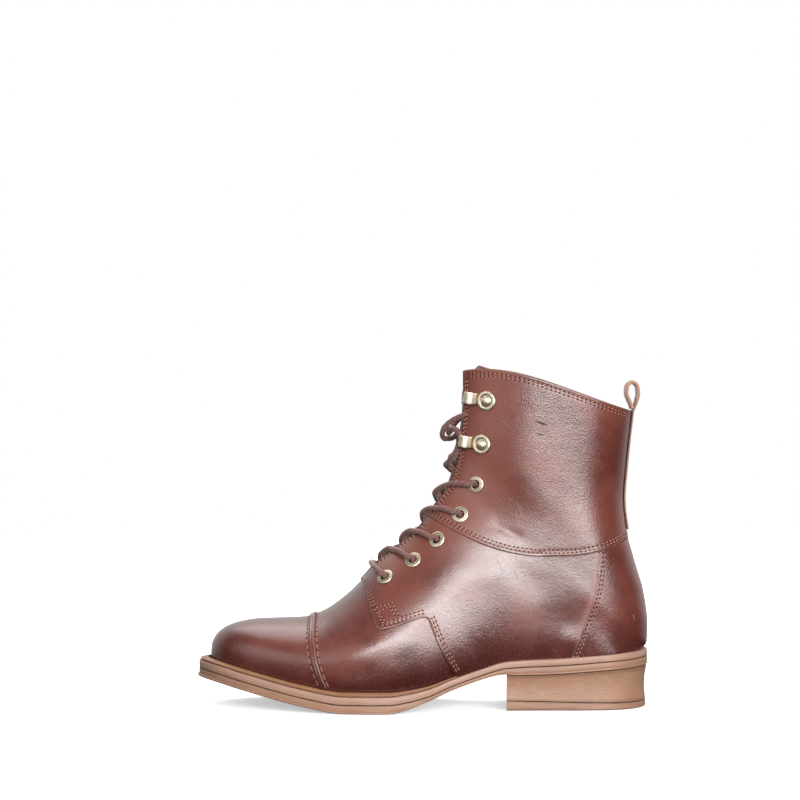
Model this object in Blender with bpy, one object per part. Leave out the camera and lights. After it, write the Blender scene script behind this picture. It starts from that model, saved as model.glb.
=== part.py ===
"""Lace-up ankle boot for the left foot, built from the pieces that a maker puts together.

The toe points to -X, the outer (lateral) side to -Y and +Z is up. The boot stands on its heel and forepart,
and the origin is on the floor under the middle of the sole. Sizes and tables are in millimetres.
"""

import math
from collections import namedtuple

import bmesh
import bpy
import numpy as np
from mathutils import Matrix

MM = 0.001

# Leather thicknesses and the clearance between pieces
GAP = 0.3
WALL = 1.6
QUARTER_THICK = 1.0
COUNTER_THICK = 1.3
SHAFT_THICK = 1.5
TOE_STRIP_THICK = 1.0
TOE_STRIP_WIDTH = 3.8
TONGUE_THICK = 2.2
TONGUE_GAP = 1.8
TONGUE_BULGE = 3.1
TONGUE_OVERLAP = 9.0
TONGUE_LEAN = 7.0
TONGUE_TOP_Z = 207.0
TONGUE_TOP_ROUND = 3.0
TONGUE_FOOT_SHARE = 0.6
TONGUE_BULGE_SHARE = 0.94
TONGUE_COLUMNS = 4
SEAM_GAP = 0.4
PANEL_FOOT = 0.5
UPPER_FOOT = 0.45

# Sole and heel
INSOLE_THICK = 2.5
INSOLE_INSET = WALL + 1.4
RIM_OUT = 0.9
RIM_END_X = 5.0
RIM_FADE = 25.0
BREAST_X = 50.5
SOLE_STATIONS = 36
TOP_PIECE_FRONT = 5.6
TOP_PIECE_BACK = 3.6
WELT_INNER = 1.6
WELT_STEP = 0.9
WELT_OUTER_RISE = 0.8
WELT_OUTER_SHARE = 0.7
WELT_END_X = 20.0

# Fittings, lace and pull loop
EYELET_HOLE_RADIUS = 2.95
EYELET_PIN_REACH = 6.0
FITTING_GAP = 0.35
TURNED_SIDES = 8
HOOK_PLATE = 0.9
LACE_RADIUS = 2.0
LACE_SIDES = 6
LACE_END_RISE = 2.0
LACE_EDGE_RISE = 0.9
LACE_BAR_LIFT = 3.4
LACE_CROSSING_LIFT = 2.9
LACE_START_LIFT = 1.6
LACE_START_SHARE = 0.3
LACE_START_TURN = 0.7
LACE_CROSSING_SHARE = 0.6
LACE_SPREAD = 0.1
STRAP_WIDTH = 13.0
STRAP_SAG = 0.75
STRAP_THICK = 1.0
LOOP_THICK = 1.6
STRAP_FIRST_ROW = 21
LOOP_FADE_ROWS = 3

# Sections of the upper where something starts: the throat's foot, the back of the heel and the collar
THROAT, HEEL, COLLAR = 10, 17, 25
THROAT_ROUND = 1.2
LOWER_ARC_POWER = 2.6
RISE_POWER = 0.7
STEP_ABOVE_COLLAR = 10.0
COLUMNS = 9
LATERAL, MEDIAL = -1, 1
HALF_TURN = math.pi
FAR = 90.0
RIDGE_Y = 2.4

# The line where the upper meets the sole, seen from above: its middle and half its width
Plan = namedtuple("Plan", "name x middle half")
PLAN = [
    Plan("toe tip", -129.4, 6.0, 0.0),
    Plan("toe round", -126.0, 5.8, 11.2),
    Plan("toe shoulder", -120.0, 5.7, 19.2),
    Plan("toe side", -110.0, 5.4, 27.0),
    Plan("toe cap", -95.0, 4.6, 34.0),
    Plan("toe cap seam", -75.0, 3.0, 39.5),
    Plan("inner ball", -55.0, 1.2, 42.5),
    Plan("outer ball", -35.0, -0.8, 43.2),
    Plan("behind ball", -15.0, -2.4, 40.6),
    Plan("waist front", 5.0, -3.0, 36.0),
    Plan("waist", 25.0, -2.8, 31.4),
    Plan("breast", 45.0, -2.0, 28.8),
    Plan("heel front", 65.0, -0.9, 28.4),
    Plan("heel middle", 90.0, -0.2, 29.2),
    Plan("heel side", 110.0, 0.0, 28.0),
    Plan("heel turn", 122.0, 0.0, 23.6),
    Plan("heel round", 130.0, 0.0, 16.2),
    Plan("heel back", 135.4, 0.0, 0.0),
]

# The sole from the side: the midsole's top, the two layers, how far they stand out, and the welt's height
Sole = namedtuple("Sole", "name x seat midsole outsole ledge rise")
SOLE = [
    Sole("toe edge", -137.5, 27.6, 4.8, 5.2, 7.2, 2.4),
    Sole("toe", -129.0, 26.6, 4.8, 5.2, 7.0, 2.4),
    Sole("toe side", -109.0, 22.3, 4.8, 5.2, 6.3, 2.5),
    Sole("toe cap", -90.0, 17.8, 4.8, 5.2, 5.8, 2.5),
    Sole("toe cap seam", -73.0, 14.0, 4.8, 5.2, 5.5, 2.5),
    Sole("tread front", -46.0, 10.0, 4.8, 5.2, 5.3, 2.5),
    Sole("tread back", -20.0, 10.0, 4.8, 5.2, 5.2, 2.4),
    Sole("tread lift", -10.0, 11.2, 4.7, 4.4, 4.8, 2.2),
    Sole("waist front", 4.0, 14.2, 4.3, 2.9, 4.0, 1.7),
    Sole("waist", 16.0, 18.7, 3.9, 2.6, 3.2, 1.0),
    Sole("waist back", 34.5, 24.9, 3.8, 2.6, 2.4, 0.4),
    Sole("breast", 50.0, 29.3, 4.0, 3.6, 2.4, 0.0),
    Sole("heel front", 56.0, 29.9, 4.1, 4.8, 2.6, 0.0),
    Sole("heel", 82.0, 31.2, 4.2, 5.2, 2.7, 0.0),
    Sole("heel side", 107.0, 33.0, 4.2, 5.2, 2.6, 0.0),
    Sole("heel back", 138.0, 35.0, 4.2, 5.2, 2.1, 0.0),
]

# Edges of the sole's layers: the share of the layer's height, how far out of the ledge, and out of the rim
Edge = namedtuple("Edge", "share out rim")
MIDSOLE_EDGE = [Edge(0.0, 0.0, 0.0), Edge(0.85, 0.0, 0.0), Edge(1.0, -0.6, 0.0)]
OUTSOLE_EDGE = [Edge(0.0, -0.2, 1.0), Edge(0.25, 0.0, 1.0), Edge(0.34, 0.0, 0.0), Edge(1.0, 0.0, 0.0)]
STACK_EDGE = [Edge(0.0, -1.2, 0.0), Edge(0.35, -1.8, 0.0), Edge(0.7, -1.5, 0.0), Edge(1.0, -0.3, 0.0)]
TOP_PIECE_EDGE = [Edge(0.0, -1.5, 0.0), Edge(0.12, -1.0, 0.0), Edge(1.0, -1.1, 0.0)]
INSOLE_EDGE = [Edge(0.0, 0.0, 0.0), Edge(1.0, 0.0, 0.0)]

# Sections of the upper, fanned from the toe to the collar. Each runs from a point on the ridge (instep and
# front of the shaft) to a point on the base (sole line, then up the back). swell is how far it stands out
# past the sole line (behind the heel its half width), wide the share of its height where it is widest, crown
# how peaked its top is, rise how far its edge arches, and throat half of the gap between the facings.
Section = namedtuple("Section", "name ridge_x ridge_z ridge_y base_x base_z swell wide crown rise throat")
SECTIONS = [
    Section("toe tip", -129.4, 26.9, 6.0, -129.4, 26.9, 0.2, 0.85, 0.80, 0.0, 0.0),
    Section("toe front", -128.9, 36.2, 6.0, -128.2, 26.8, 0.5, 0.85, 0.80, 0.0, 0.0),
    Section("toe round", -126.0, 42.4, 5.9, -124.6, 26.1, 0.8, 0.85, 0.75, 0.0, 0.0),
    Section("toe shoulder", -119.8, 47.4, 5.8, -118.6, 24.9, 0.9, 0.85, 0.75, 0.0, 0.0),
    Section("toe side", -110.4, 50.6, 5.6, -110.2, 22.9, 1.0, 0.84, 0.78, 0.0, 0.0),
    Section("toe top", -99.4, 52.2, 5.2, -99.4, 20.3, 1.2, 0.82, 0.82, 0.0, 0.0),
    Section("toe cap", -86.0, 52.7, 4.6, -86.0, 17.2, 1.4, 0.80, 0.88, 0.0, 0.0),
    Section("toe cap seam", -71.5, 53.4, 3.8, -70.0, 13.7, 1.6, 0.80, 0.95, 0.0, 0.0),
    Section("vamp", -60.0, 57.4, 3.2, -55.0, 11.3, 2.0, 0.80, 1.05, 0.0, 0.0),
    Section("ball", -48.0, 65.6, 2.8, -38.0, 10.3, 2.4, 0.80, 1.15, 0.0, 0.0),
    Section("throat foot", -36.5, 76.4, 2.4, -20.0, 10.3, 2.5, 0.80, 1.22, 0.0, 8.5),
    Section("first eyelet", -26.4, 87.9, 2.0, -2.0, 12.9, 2.6, 0.78, 1.22, 0.0, 9.0),
    Section("instep", -13.9, 98.0, 1.7, 16.0, 19.0, 3.2, 0.75, 1.20, 0.0, 9.5),
    Section("third eyelet", -2.5, 109.0, 1.4, 38.0, 26.2, 4.0, 0.70, 1.15, 0.0, 10.0),
    Section("ankle bend", 4.5, 119.2, 1.1, 53.0, 30.0, 4.0, 0.66, 1.10, 0.0, 10.4),
    Section("ankle", 9.8, 128.0, 0.8, 81.0, 31.4, 3.0, 0.62, 1.05, 0.0, 10.8),
    Section("heel slant", 13.4, 135.2, 0.5, 109.0, 33.4, 3.2, 0.58, 1.00, 0.0, 11.2),
    Section("heel back", 15.6, 141.6, 0.3, 135.4, 35.2, 31.0, 0.55, 1.00, 0.0, 11.5),
    Section("counter low", 17.2, 148.0, 0.2, 135.2, 50.0, 31.0, 0.53, 1.00, 0.0, 11.8),
    Section("counter top", 18.7, 155.0, 0.1, 132.6, 68.0, 31.2, 0.52, 1.00, 0.0, 12.0),
    Section("above heel", 20.0, 162.0, 0.0, 126.4, 88.0, 31.6, 0.51, 1.00, 0.0, 12.2),
    Section("ankle back", 21.0, 168.6, 0.0, 122.4, 107.0, 32.0, 0.50, 1.00, 0.4, 12.4),
    Section("shaft low", 21.9, 175.6, 0.0, 121.4, 126.0, 32.6, 0.50, 1.00, 1.2, 12.6),
    Section("shaft", 22.6, 184.0, 0.0, 122.8, 145.0, 33.4, 0.50, 1.00, 2.6, 12.8),
    Section("shaft high", 23.1, 193.0, 0.0, 124.6, 162.5, 34.2, 0.50, 1.00, 4.4, 13.0),
    Section("collar", 23.5, 203.0, 0.0, 126.6, 179.6, 35.0, 0.50, 1.00, 6.8, 13.2),
]
ROWS = [0.0, 0.4, 1.0, *range(2, 11), 10.15, 10.5, 11.2, *range(12, 17), 16.4, 16.75, 16.93,
        *range(17, 24), 25]
TONGUE_ROWS = [9.0, 10.0, 10.5, 11.2, *range(12, 18), 19, 21, 23, 24, 25, 25.3]
TONGUE_OPENING_ROWS = (10.7, 12.0)
TONGUE_LEAN_ROWS = (23.0, 25.3)

# Seams as they run on the boot's side: the shaft's lower edge, the counter's front edge, the strip over the
# toe cap's seam, and the quarter's front edge with its tab and its step down to the sole
Side = namedtuple("Side", "x z")
SHAFT_SEAM = [Side(-2.0, 118.5), Side(4.6, 115.0), Side(21.4, 106.0), Side(38.0, 98.4), Side(55.0, 93.8),
              Side(72.0, 92.0), Side(88.0, 92.2), Side(105.0, 94.6), Side(115.0, 98.0), Side(127.0, 103.4),
              Side(142.0, 109.0)]
COUNTER_SEAM = [Side(86.0, 25.0), Side(97.0, 53.0), Side(103.0, 72.0), Side(105.3, 90.0), Side(106.0, 100.0)]
TOE_STRIP = [Side(-58.6, 15.2), Side(-61.5, 22.0), Side(-65.0, 34.0), Side(-66.3, 46.0), Side(-66.3, 75.0)]
QUARTER_FRONT = [Side(-46.0, 79.5), Side(-35.6, 75.6), Side(-32.4, 64.5), Side(-28.6, 53.4),
                 Side(-27.2, 50.4), Side(-24.4, 49.4), Side(-18.2, 50.6), Side(-9.1, 53.6),
                 Side(-0.7, 56.4), Side(2.2, 56.6), Side(4.0, 54.6), Side(5.8, 49.4),
                 Side(9.0, 41.6), Side(12.8, 33.2), Side(19.4, 21.6)]
QUARTER_FOOT_X = 24.0
COUNTER_FOOT_X = 88.0
COUNTER_TOP_X = 105.3
HEEL_FOOT_X = 137.5
CORNER = 2.0
BACK_X = 150.0
FRONT_X = -12.0
ABOVE_COLLAR_Z = 225.0

# Eyelets, hooks and the place where the last crossing meets the first hook, seen from the side
EYELETS = [Side(-22.8, 79.8), Side(-5.8, 90.2), Side(8.7, 102.4), Side(22.4, 117.4), Side(32.0, 135.4)]
HOOKS = [Side(35.4, 159.6), Side(39.0, 186.0)]
UNDER_HOOK = Side(24.6, 152.0)
EYELETS_ON_QUARTER = 3

# The hook's plate from behind its rivet to its free end, and the turned outlines of rivet and eyelet
Plate = namedtuple("Plate", "along high half")
HOOK = [Plate(-6.0, 0.45, 1.2), Plate(-5.2, 0.45, 3.0), Plate(-4.0, 0.45, 4.5), Plate(-2.0, 0.45, 5.7),
        Plate(0.0, 0.45, 6.0), Plate(2.0, 0.45, 5.7), Plate(4.2, 0.45, 4.3), Plate(6.0, 0.45, 4.15),
        Plate(7.4, 1.7, 4.15), Plate(8.6, 3.8, 4.15), Plate(10.6, 5.0, 4.15), Plate(12.8, 4.6, 4.0),
        Plate(14.4, 3.0, 3.4), Plate(15.0, 1.6, 2.6)]
Turned = namedtuple("Turned", "radius high")
RIVET = [Turned(3.1, 0.0), Turned(3.1, 0.4), Turned(2.6, 1.3), Turned(1.5, 1.9)]
EYELET = [Turned(2.1, -2.2), Turned(2.6, 0.0), Turned(4.8, 0.0), Turned(3.7, 1.0), Turned(2.1, 0.7)]

# The middle of the pull loop's strap above the collar and down inside it, seen from the side
PULL_LOOP = [Side(130.0, 181.0), Side(131.4, 185.0), Side(132.3, 190.0), Side(131.6, 194.4),
             Side(128.4, 196.8), Side(125.2, 194.4), Side(124.4, 190.0), Side(123.7, 185.0),
             Side(122.7, 179.5), Side(121.8, 172.0)]

# Each lace end from its hook over the tongue to the half knot and up behind the other facing
Route = namedtuple("Route", "x y z")
KNOT_OUTER = [Route(22.4, -15.2, 166.5), Route(18.6, -11.5, 168.0), Route(15.0, -6.5, 166.0),
              Route(13.4, -1.5, 163.8), Route(13.4, 3.0, 166.6), Route(16.2, 7.5, 171.4),
              Route(19.6, 10.5, 176.4)]
KNOT_INNER = [Route(22.4, 15.2, 166.5), Route(18.4, 11.6, 165.2), Route(16.9, 6.5, 164.0),
              Route(17.8, 1.5, 168.2), Route(16.9, -4.0, 172.4), Route(18.8, -9.6, 175.4)]

COLOURS = {
    "boot leather": ((0.150, 0.042, 0.026, 1.0), 0.36, 0.0),
    "tongue leather": ((0.130, 0.038, 0.025, 1.0), 0.45, 0.0),
    "sole leather": ((0.360, 0.190, 0.110, 1.0), 0.60, 0.0),
    "welt leather": ((0.330, 0.150, 0.070, 1.0), 0.60, 0.0),
    "insole leather": ((0.420, 0.260, 0.160, 1.0), 0.80, 0.0),
    "antique brass": ((0.480, 0.400, 0.270, 1.0), 0.35, 1.0),
    "lace cord": ((0.120, 0.045, 0.032, 1.0), 0.80, 0.0),
}


def column(table, name):
    """One named column of a table."""
    return np.array([getattr(row, name) for row in table], float)


def smooth(knots, values, at):
    """Values at the given places on a monotone cubic curve through a table, which never overshoots it."""
    step = np.diff(knots)
    slope = np.diff(values) / step
    before, after = slope[:-1], slope[1:]
    weight_before = step[:-1] + 2 * step[1:]
    weight_after = 2 * step[:-1] + step[1:]
    one_way = before * after > 0
    safe_before = np.where(one_way, before, 1.0)
    safe_after = np.where(one_way, after, 1.0)
    mean = (weight_before + weight_after) / (weight_before / safe_before + weight_after / safe_after)
    tangent = np.concatenate([slope[:1], np.where(one_way, mean, 0.0), slope[-1:]])
    at = np.clip(np.asarray(at, float), knots[0], knots[-1])
    i = np.clip(np.searchsorted(knots, at, side="right") - 1, 0, len(step) - 1)
    t = (at - knots[i]) / step[i]
    near = values[i] * (1 + 2 * t) + tangent[i] * step[i] * t
    far = values[i + 1] * (3 - 2 * t) - tangent[i + 1] * step[i] * (1 - t)
    return near * (1 - t) ** 2 + far * t**2


def plan_at(x):
    """Middle and half width of the sole line at x. The squared width is smooth, so both ends are round."""
    xs = column(PLAN, "x")
    half = np.sqrt(np.maximum(smooth(xs, column(PLAN, "half") ** 2, x), 0.0))
    return smooth(xs, column(PLAN, "middle"), x), half


def sole_at(name, x):
    """One column of the sole's table at x."""
    return smooth(column(SOLE, "x"), column(SOLE, name), x)


def curve_through(points, count):
    """Evenly spaced points on a smooth curve through the rows of a table of places."""
    points = np.asarray(points, float)
    along = np.concatenate([[0.0], np.cumsum(np.linalg.norm(np.diff(points, axis=0), axis=1))])
    at = np.linspace(0.0, along[-1], count)
    return np.column_stack([smooth(along, points[:, axis], at) for axis in range(points.shape[1])])


class Fan:
    """The upper's outer face, as a function of u along the fan of sections and v around each section.

    v is 0 on the ridge, minus a half turn at the lateral base and plus a half turn at the medial base."""

    def __init__(self):
        self.rows = np.arange(len(SECTIONS), dtype=float)
        self.table = {name: column(SECTIONS, name) for name in Section._fields if name != "name"}
        half = plan_at(self.table["base_x"])[1] + self.table["swell"]
        self.table["half"] = np.where(self.rows < HEEL, half, self.table["swell"])
        self.table["base_z"][HEEL] = sole_at("seat", SECTIONS[HEEL].base_x) + UPPER_FOOT

    def value(self, name, u):
        """One column of the sections' table at u."""
        return smooth(self.rows, self.table[name], u)

    def base(self, u):
        """x, y and z of the base line, and half the width of the open sole there."""
        x = self.value("base_x", u)
        middle, half = plan_at(x)
        on_sole = np.asarray(u) <= HEEL
        z = np.where(on_sole, sole_at("seat", x) + UPPER_FOOT, self.value("base_z", u))
        return x, np.where(on_sole, middle, 0.0), z, np.where(on_sole, half, 0.0)

    def share(self, u, turn):
        """How far down the section, from ridge to base, a turn has come."""
        wide, crown = self.value("wide", u), self.value("crown", u)
        upper = wide * (1 - np.cos(np.minimum(turn, HALF_TURN / 2)) ** crown)
        return upper + (1 - wide) * np.sin(np.maximum(turn - HALF_TURN / 2, 0.0))

    def turn(self, u, share):
        """The turn that comes that far down the section."""
        wide, crown = self.value("wide", u), self.value("crown", u)
        upper = np.arccos(np.clip(1 - share / wide, 0.0, 1.0) ** (1 / crown))
        return upper + np.arcsin(np.clip((share - wide) / (1 - wide), 0.0, 1.0))

    def side_view(self, u, share):
        """x and z of the point that far down section u, whose edge arches by its rise."""
        base_x, _, base_z, _ = self.base(u)
        ridge_x, ridge_z = self.value("ridge_x", u), self.value("ridge_z", u)
        arch = np.sin(HALF_TURN * np.clip(share, 0, 1) ** RISE_POWER) * np.sqrt(np.clip(1 - share, 0, 1))
        x = ridge_x + (base_x - ridge_x) * share
        return x, ridge_z + (base_z - ridge_z) * share + self.value("rise", u) * arch

    def face(self, u, v):
        """Points of the outer face."""
        turn, side = np.abs(v), np.where(np.asarray(v) < 0, LATERAL, MEDIAL)
        share = self.share(u, turn)
        x, z = self.side_view(u, share)
        _, base_y, _, end = self.base(u)
        half, ridge_y = self.value("half", u), self.value("ridge_y", u)
        closing = 1 - np.minimum(end / half, 1.0) ** 2
        down = np.sin(np.maximum(turn - HALF_TURN / 2, 0.0)) ** LOWER_ARC_POWER
        lower = np.sqrt(np.maximum(1 - closing * down, 0.0))
        width = half * np.where(turn < HALF_TURN / 2, np.sin(turn), lower)
        return np.stack([x, ridge_y + (base_y - ridge_y) * share + side * width, z], axis=-1)

    def normal(self, u, v):
        """Unit vectors out of the face, from small steps along u and v."""
        nudge = 1e-3
        u = np.clip(u, 0.05, COLLAR - nudge)
        along = self.face(u + nudge, v) - self.face(u - nudge, v)
        after, before = np.minimum(v + nudge, HALF_TURN), np.maximum(v - nudge, -HALF_TURN)
        out = np.cross(along, self.face(u, after) - self.face(u, before))
        return out / np.linalg.norm(out, axis=-1, keepdims=True)

    def point(self, u, v, lift):
        """Points lifted off the outer face, or sunk into it where lift is negative. Above the collar, the
        face goes on straight up."""
        u, v, lift = np.broadcast_arrays(np.asarray(u, float), np.asarray(v, float), np.asarray(lift, float))
        points = self.face(u, v) + self.normal(u, v) * lift[..., None]
        points[..., 2] += STEP_ABOVE_COLLAR * np.maximum(u - COLLAR, 0.0)
        return points

    def throat_turn(self, u):
        """The turn at the facing's edge. The throat opens as a round notch above its foot."""
        opening = np.sqrt(np.clip((u - THROAT) / THROAT_ROUND, 0.0, 1.0))
        return np.arcsin(self.value("throat", u) * opening / self.value("half", u))

    def locate(self, place):
        """u and turn of the face's point at a place in the side view, by Newton steps from a coarse grid."""
        rows, shares = np.arange(1.0, COLLAR, 0.2), np.linspace(0.0, 1.0, 61)
        u, share = np.meshgrid(rows, shares, indexing="ij")
        x, z = self.side_view(u, share)
        best = np.argmin((x - place.x) ** 2 + (z - place.z) ** 2)
        at = np.array([u.flat[best], share.flat[best]])
        nudge = 1e-4
        for _ in range(12):
            here = np.array(self.side_view(*at))
            by_u = (np.array(self.side_view(at[0] + nudge, at[1])) - here) / nudge
            by_share = (np.array(self.side_view(at[0], at[1] + nudge)) - here) / nudge
            at = at + np.linalg.solve(np.column_stack([by_u, by_share]), np.array(place) - here)
            at = np.clip(at, [0.1, 0.0], [COLLAR - 0.01, 0.99])
        return at[0], self.turn(*at)


FAN = Fan()


def material(name):
    """A Principled material from the table of colours, made once."""
    found = bpy.data.materials.get(name)
    if found:
        return found
    colour, roughness, metallic = COLOURS[name]
    made = bpy.data.materials.new(name)
    made.use_nodes = True
    shader = made.node_tree.nodes["Principled BSDF"]
    shader.inputs["Base Color"].default_value = colour
    shader.inputs["Roughness"].default_value = roughness
    shader.inputs["Metallic"].default_value = metallic
    return made


def make_mesh(name, points, faces, colour, sharp_angle=40):
    """A mesh from points in millimetres, with its faces turned outwards and its blunt edges shaded smooth."""
    mesh = bpy.data.meshes.new(name)
    mesh.from_pydata([tuple(point) for point in np.asarray(points, float) * MM], [], faces)
    shape = bmesh.new()
    shape.from_mesh(mesh)
    bmesh.ops.recalc_face_normals(shape, faces=shape.faces)
    shape.to_mesh(mesh)
    shape.free()
    mesh.shade_smooth()
    mesh.set_sharp_from_angle(angle=math.radians(sharp_angle))
    mesh.materials.append(material(colour))
    return mesh


def place(name, mesh, matrix=None):
    """An object for a mesh, under the boot's empty, placed by a matrix where it has one."""
    obj = bpy.data.objects.new(name, mesh)
    bpy.context.scene.collection.objects.link(obj)
    obj.parent = BOOT
    if matrix is not None:
        obj.matrix_world = matrix
    return obj


def boolean(obj, operation, other):
    """Adds a live Boolean whose other shape is a guide, not a piece of the boot."""
    other.hide_render = True
    other.display_type = "WIRE"
    modifier = obj.modifiers.new(operation.lower(), "BOOLEAN")
    modifier.operation = operation
    modifier.object = other
    modifier.solver = "EXACT"


def closed_sheet(outer, inner, faces):
    """Points and faces of the wall between two sheets with the same layout of faces."""
    count = len(outer)
    uses = {}
    for face in faces:
        for a, b in zip(face, face[1:] + face[:1]):
            uses.setdefault(frozenset((a, b)), []).append((a, b))
    rim = [(b, a, a + count, b + count) for [(a, b), *others] in uses.values() if not others]
    back = [tuple(i + count for i in reversed(face)) for face in faces]
    return np.vstack([outer, inner]), [*faces, *back, *rim]


def fan_grid(rows, columns, first_turn, last_turn):
    """u, v and triangles of a sheet on the fan, whose sides share their points on the ridge and the back."""
    numbers, faces = {}, []

    def number(u, v):
        on_back = u >= HEEL and abs(v) == HALF_TURN
        v = 0.0 if u == 0 else HALF_TURN if on_back else float(v)
        return numbers.setdefault((float(u), v), len(numbers))

    for side in (LATERAL, MEDIAL):
        grid = []
        for u in rows:
            turns = np.linspace(first_turn(u), last_turn(u), columns + 1)
            grid.append([number(u, side * turn) for turn in turns])
        for low, high in zip(grid, grid[1:]):
            for j in range(columns):
                for face in ((low[j], high[j], high[j + 1]), (low[j], high[j + 1], low[j + 1])):
                    faces.append(face if side == MEDIAL else face[::-1])
    u, v = np.array(list(numbers)).T
    return u, v, [face for face in faces if len(set(face)) == 3]


def shell(name, first_row, last_row, inner_lift, outer_lift, colour):
    """Mesh of a wall that follows the upper, between two lifts off its outer face."""
    rows = [u for u in ROWS if first_row <= u <= last_row]
    u, v, faces = fan_grid(rows, COLUMNS, FAN.throat_turn, lambda _: HALF_TURN)
    points, faces = closed_sheet(FAN.point(u, v, outer_lift), FAN.point(u, v, inner_lift), faces)
    return make_mesh(name, points, faces, colour)


def prism(name, outline, low_y, high_y):
    """A guide: a side-view outline drawn out across the boot."""
    count = len(outline)
    near = [(x, low_y, z) for x, z in outline]
    far = [(x, high_y, z) for x, z in outline]
    sides = [(i, (i + 1) % count, (i + 1) % count + count, i + count) for i in range(count)]
    faces = [tuple(range(count)), tuple(range(2 * count - 1, count - 1, -1)), *sides]
    return place(name, make_mesh(name, near + far, faces, "boot leather"))


def panel(name, rows, thick, outline, low_y, high_y):
    """A leather panel on the upper: the part of a shell inside a side-view outline."""
    obj = place(name, shell(name, *rows, GAP, GAP + thick, "boot leather"))
    boolean(obj, "INTERSECT", prism(name + "_outline", outline, low_y, high_y))
    return obj


def sole_edge(s, side):
    """Points of the sole line from the toe, s = 0, to the heel, s = 1, evenly round both ends."""
    toe, heel = PLAN[0].x, PLAN[-1].x
    x = toe + (heel - toe) * (1 - np.cos(HALF_TURN * np.asarray(s))) / 2
    middle, half = plan_at(x)
    return np.stack([x, middle + side * half], axis=-1)


def share_at(x):
    """The s of the sole line at x."""
    toe, heel = PLAN[0].x, PLAN[-1].x
    return math.acos(1 - 2 * (x - toe) / (heel - toe)) / HALF_TURN


def sole_stations():
    """Stations along the sole line, with one at the heel's breast."""
    return np.sort(np.append(np.linspace(0.0, 1.0, SOLE_STATIONS), share_at(BREAST_X)))


def offset_edge(s, side, out):
    """Points of the sole line moved outwards, square to it. out is a distance or a function of x."""
    nudge = 1e-4
    s = np.asarray(s, float)
    edge = sole_edge(s, side)
    along = sole_edge(np.minimum(s + nudge, 1), side) - sole_edge(np.maximum(s - nudge, 0), side)
    along /= np.linalg.norm(along, axis=-1, keepdims=True)
    normal = np.stack([-along[..., 1], along[..., 0]], axis=-1) * side
    distance = out(edge[..., 0]) if callable(out) else np.full(s.shape, out)
    return edge + normal * distance[..., None]


def sole_ring(s, out, height):
    """A ring round the sole: along the lateral edge to the heel and back along the medial edge."""
    lateral, medial = offset_edge(s, LATERAL, out), offset_edge(s, MEDIAL, out)
    back_again = medial[-2::-1] if s[0] > 0 else medial[-2:0:-1]
    ring = np.vstack([lateral, back_again])
    return np.column_stack([ring, height(ring[:, 0])])


def layer(name, first_x, edges, inset, low, high, colour):
    """A layer of the sole: rings up its edge between two heights, closed by strips across top and bottom.

    All layers have the same stations along the sole, so their faces stay parallel."""
    s = sole_stations()
    s = s if first_x is None else s[s >= share_at(first_x)]

    def rim(x):
        return RIM_OUT * np.clip((RIM_END_X - x) / RIM_FADE, 0.0, 1.0)

    rings = []
    for edge in edges:
        rings.append(sole_ring(
            s,
            lambda x, e=edge: (sole_at("ledge", x) if inset is None else -inset) + e.out + e.rim * rim(x),
            lambda x, e=edge: low(x) + (high(x) - low(x)) * e.share,
        ))
    count = len(rings[0])
    faces = []
    for level in range(len(rings) - 1):
        base = level * count
        faces += [(base + i, base + (i + 1) % count, base + count + (i + 1) % count, base + count + i)
                  for i in range(count)]
    across = count if first_x is None else count - 1
    for base in (0, (len(rings) - 1) * count):
        for i in range(len(s) - 1):
            strip = [i, i + 1, (across - i - 1) % count, (across - i) % count]
            faces.append(tuple(base + n for n in dict.fromkeys(strip)))
    return place(name, make_mesh(name, np.vstack(rings), faces, colour))


def build_sole():
    """Outsole, midsole, insole and the two layers of the heel."""
    def seat(x):
        return sole_at("seat", x)

    def midsole_low(x):
        return seat(x) - sole_at("midsole", x)

    def outsole_low(x):
        return midsole_low(x) - sole_at("outsole", x)

    def top_piece_high(x):
        return np.interp(x, [BREAST_X, PLAN[-1].x], [TOP_PIECE_FRONT, TOP_PIECE_BACK])

    layer("midsole", None, MIDSOLE_EDGE, None, midsole_low, seat, "sole leather")
    layer("outsole", None, OUTSOLE_EDGE, None, outsole_low, lambda x: midsole_low(x) - GAP, "sole leather")
    layer("heel_stack", BREAST_X, STACK_EDGE, None, lambda x: top_piece_high(x) + GAP,
          lambda x: outsole_low(x) - GAP, "sole leather")
    layer("heel_top_piece", BREAST_X, TOP_PIECE_EDGE, None, np.zeros_like, top_piece_high, "sole leather")
    layer("insole", None, INSOLE_EDGE, INSOLE_INSET, lambda x: seat(x) + GAP,
          lambda x: seat(x) + GAP + INSOLE_THICK, "insole leather")


def build_welt():
    """The bevelled strip on the midsole round the forepart, from waist to waist."""
    s = sole_stations()
    s = s[s < share_at(WELT_END_X)][::-1]

    def section(out, height):
        edge = np.vstack([offset_edge(s, LATERAL, out), offset_edge(s[-2::-1], MEDIAL, out)])
        x = edge[:, 0]
        return np.column_stack([edge, sole_at("seat", x) + GAP + height(x)])

    def outer(x):
        return sole_at("ledge", x) - WELT_STEP

    corners = [
        section(WELT_INNER, np.zeros_like),
        section(outer, np.zeros_like),
        section(outer, lambda x: np.minimum(WELT_OUTER_RISE, WELT_OUTER_SHARE * sole_at("rise", x))),
        section(WELT_INNER, lambda x: sole_at("rise", x) - GAP),
    ]
    swept("welt", np.stack(corners, axis=1), "welt leather")


def swept(name, rings, colour, sharp_angle=40):
    """An object skinned over a row of rings of points, with both ends closed."""
    return place(name, make_mesh(name, *skin(rings), colour, sharp_angle))


def skin(rings):
    """Points and faces over a row of rings, each an array of points, with both ends closed."""
    count, size = rings.shape[:2]
    faces = [tuple(range(size)), tuple(range((count - 1) * size, count * size))]
    for row in range(count - 1):
        for i in range(size):
            low, high = row * size, (row + 1) * size
            faces.append((low + i, low + (i + 1) % size, high + (i + 1) % size, high + i))
    return rings.reshape(-1, 3), faces


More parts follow.
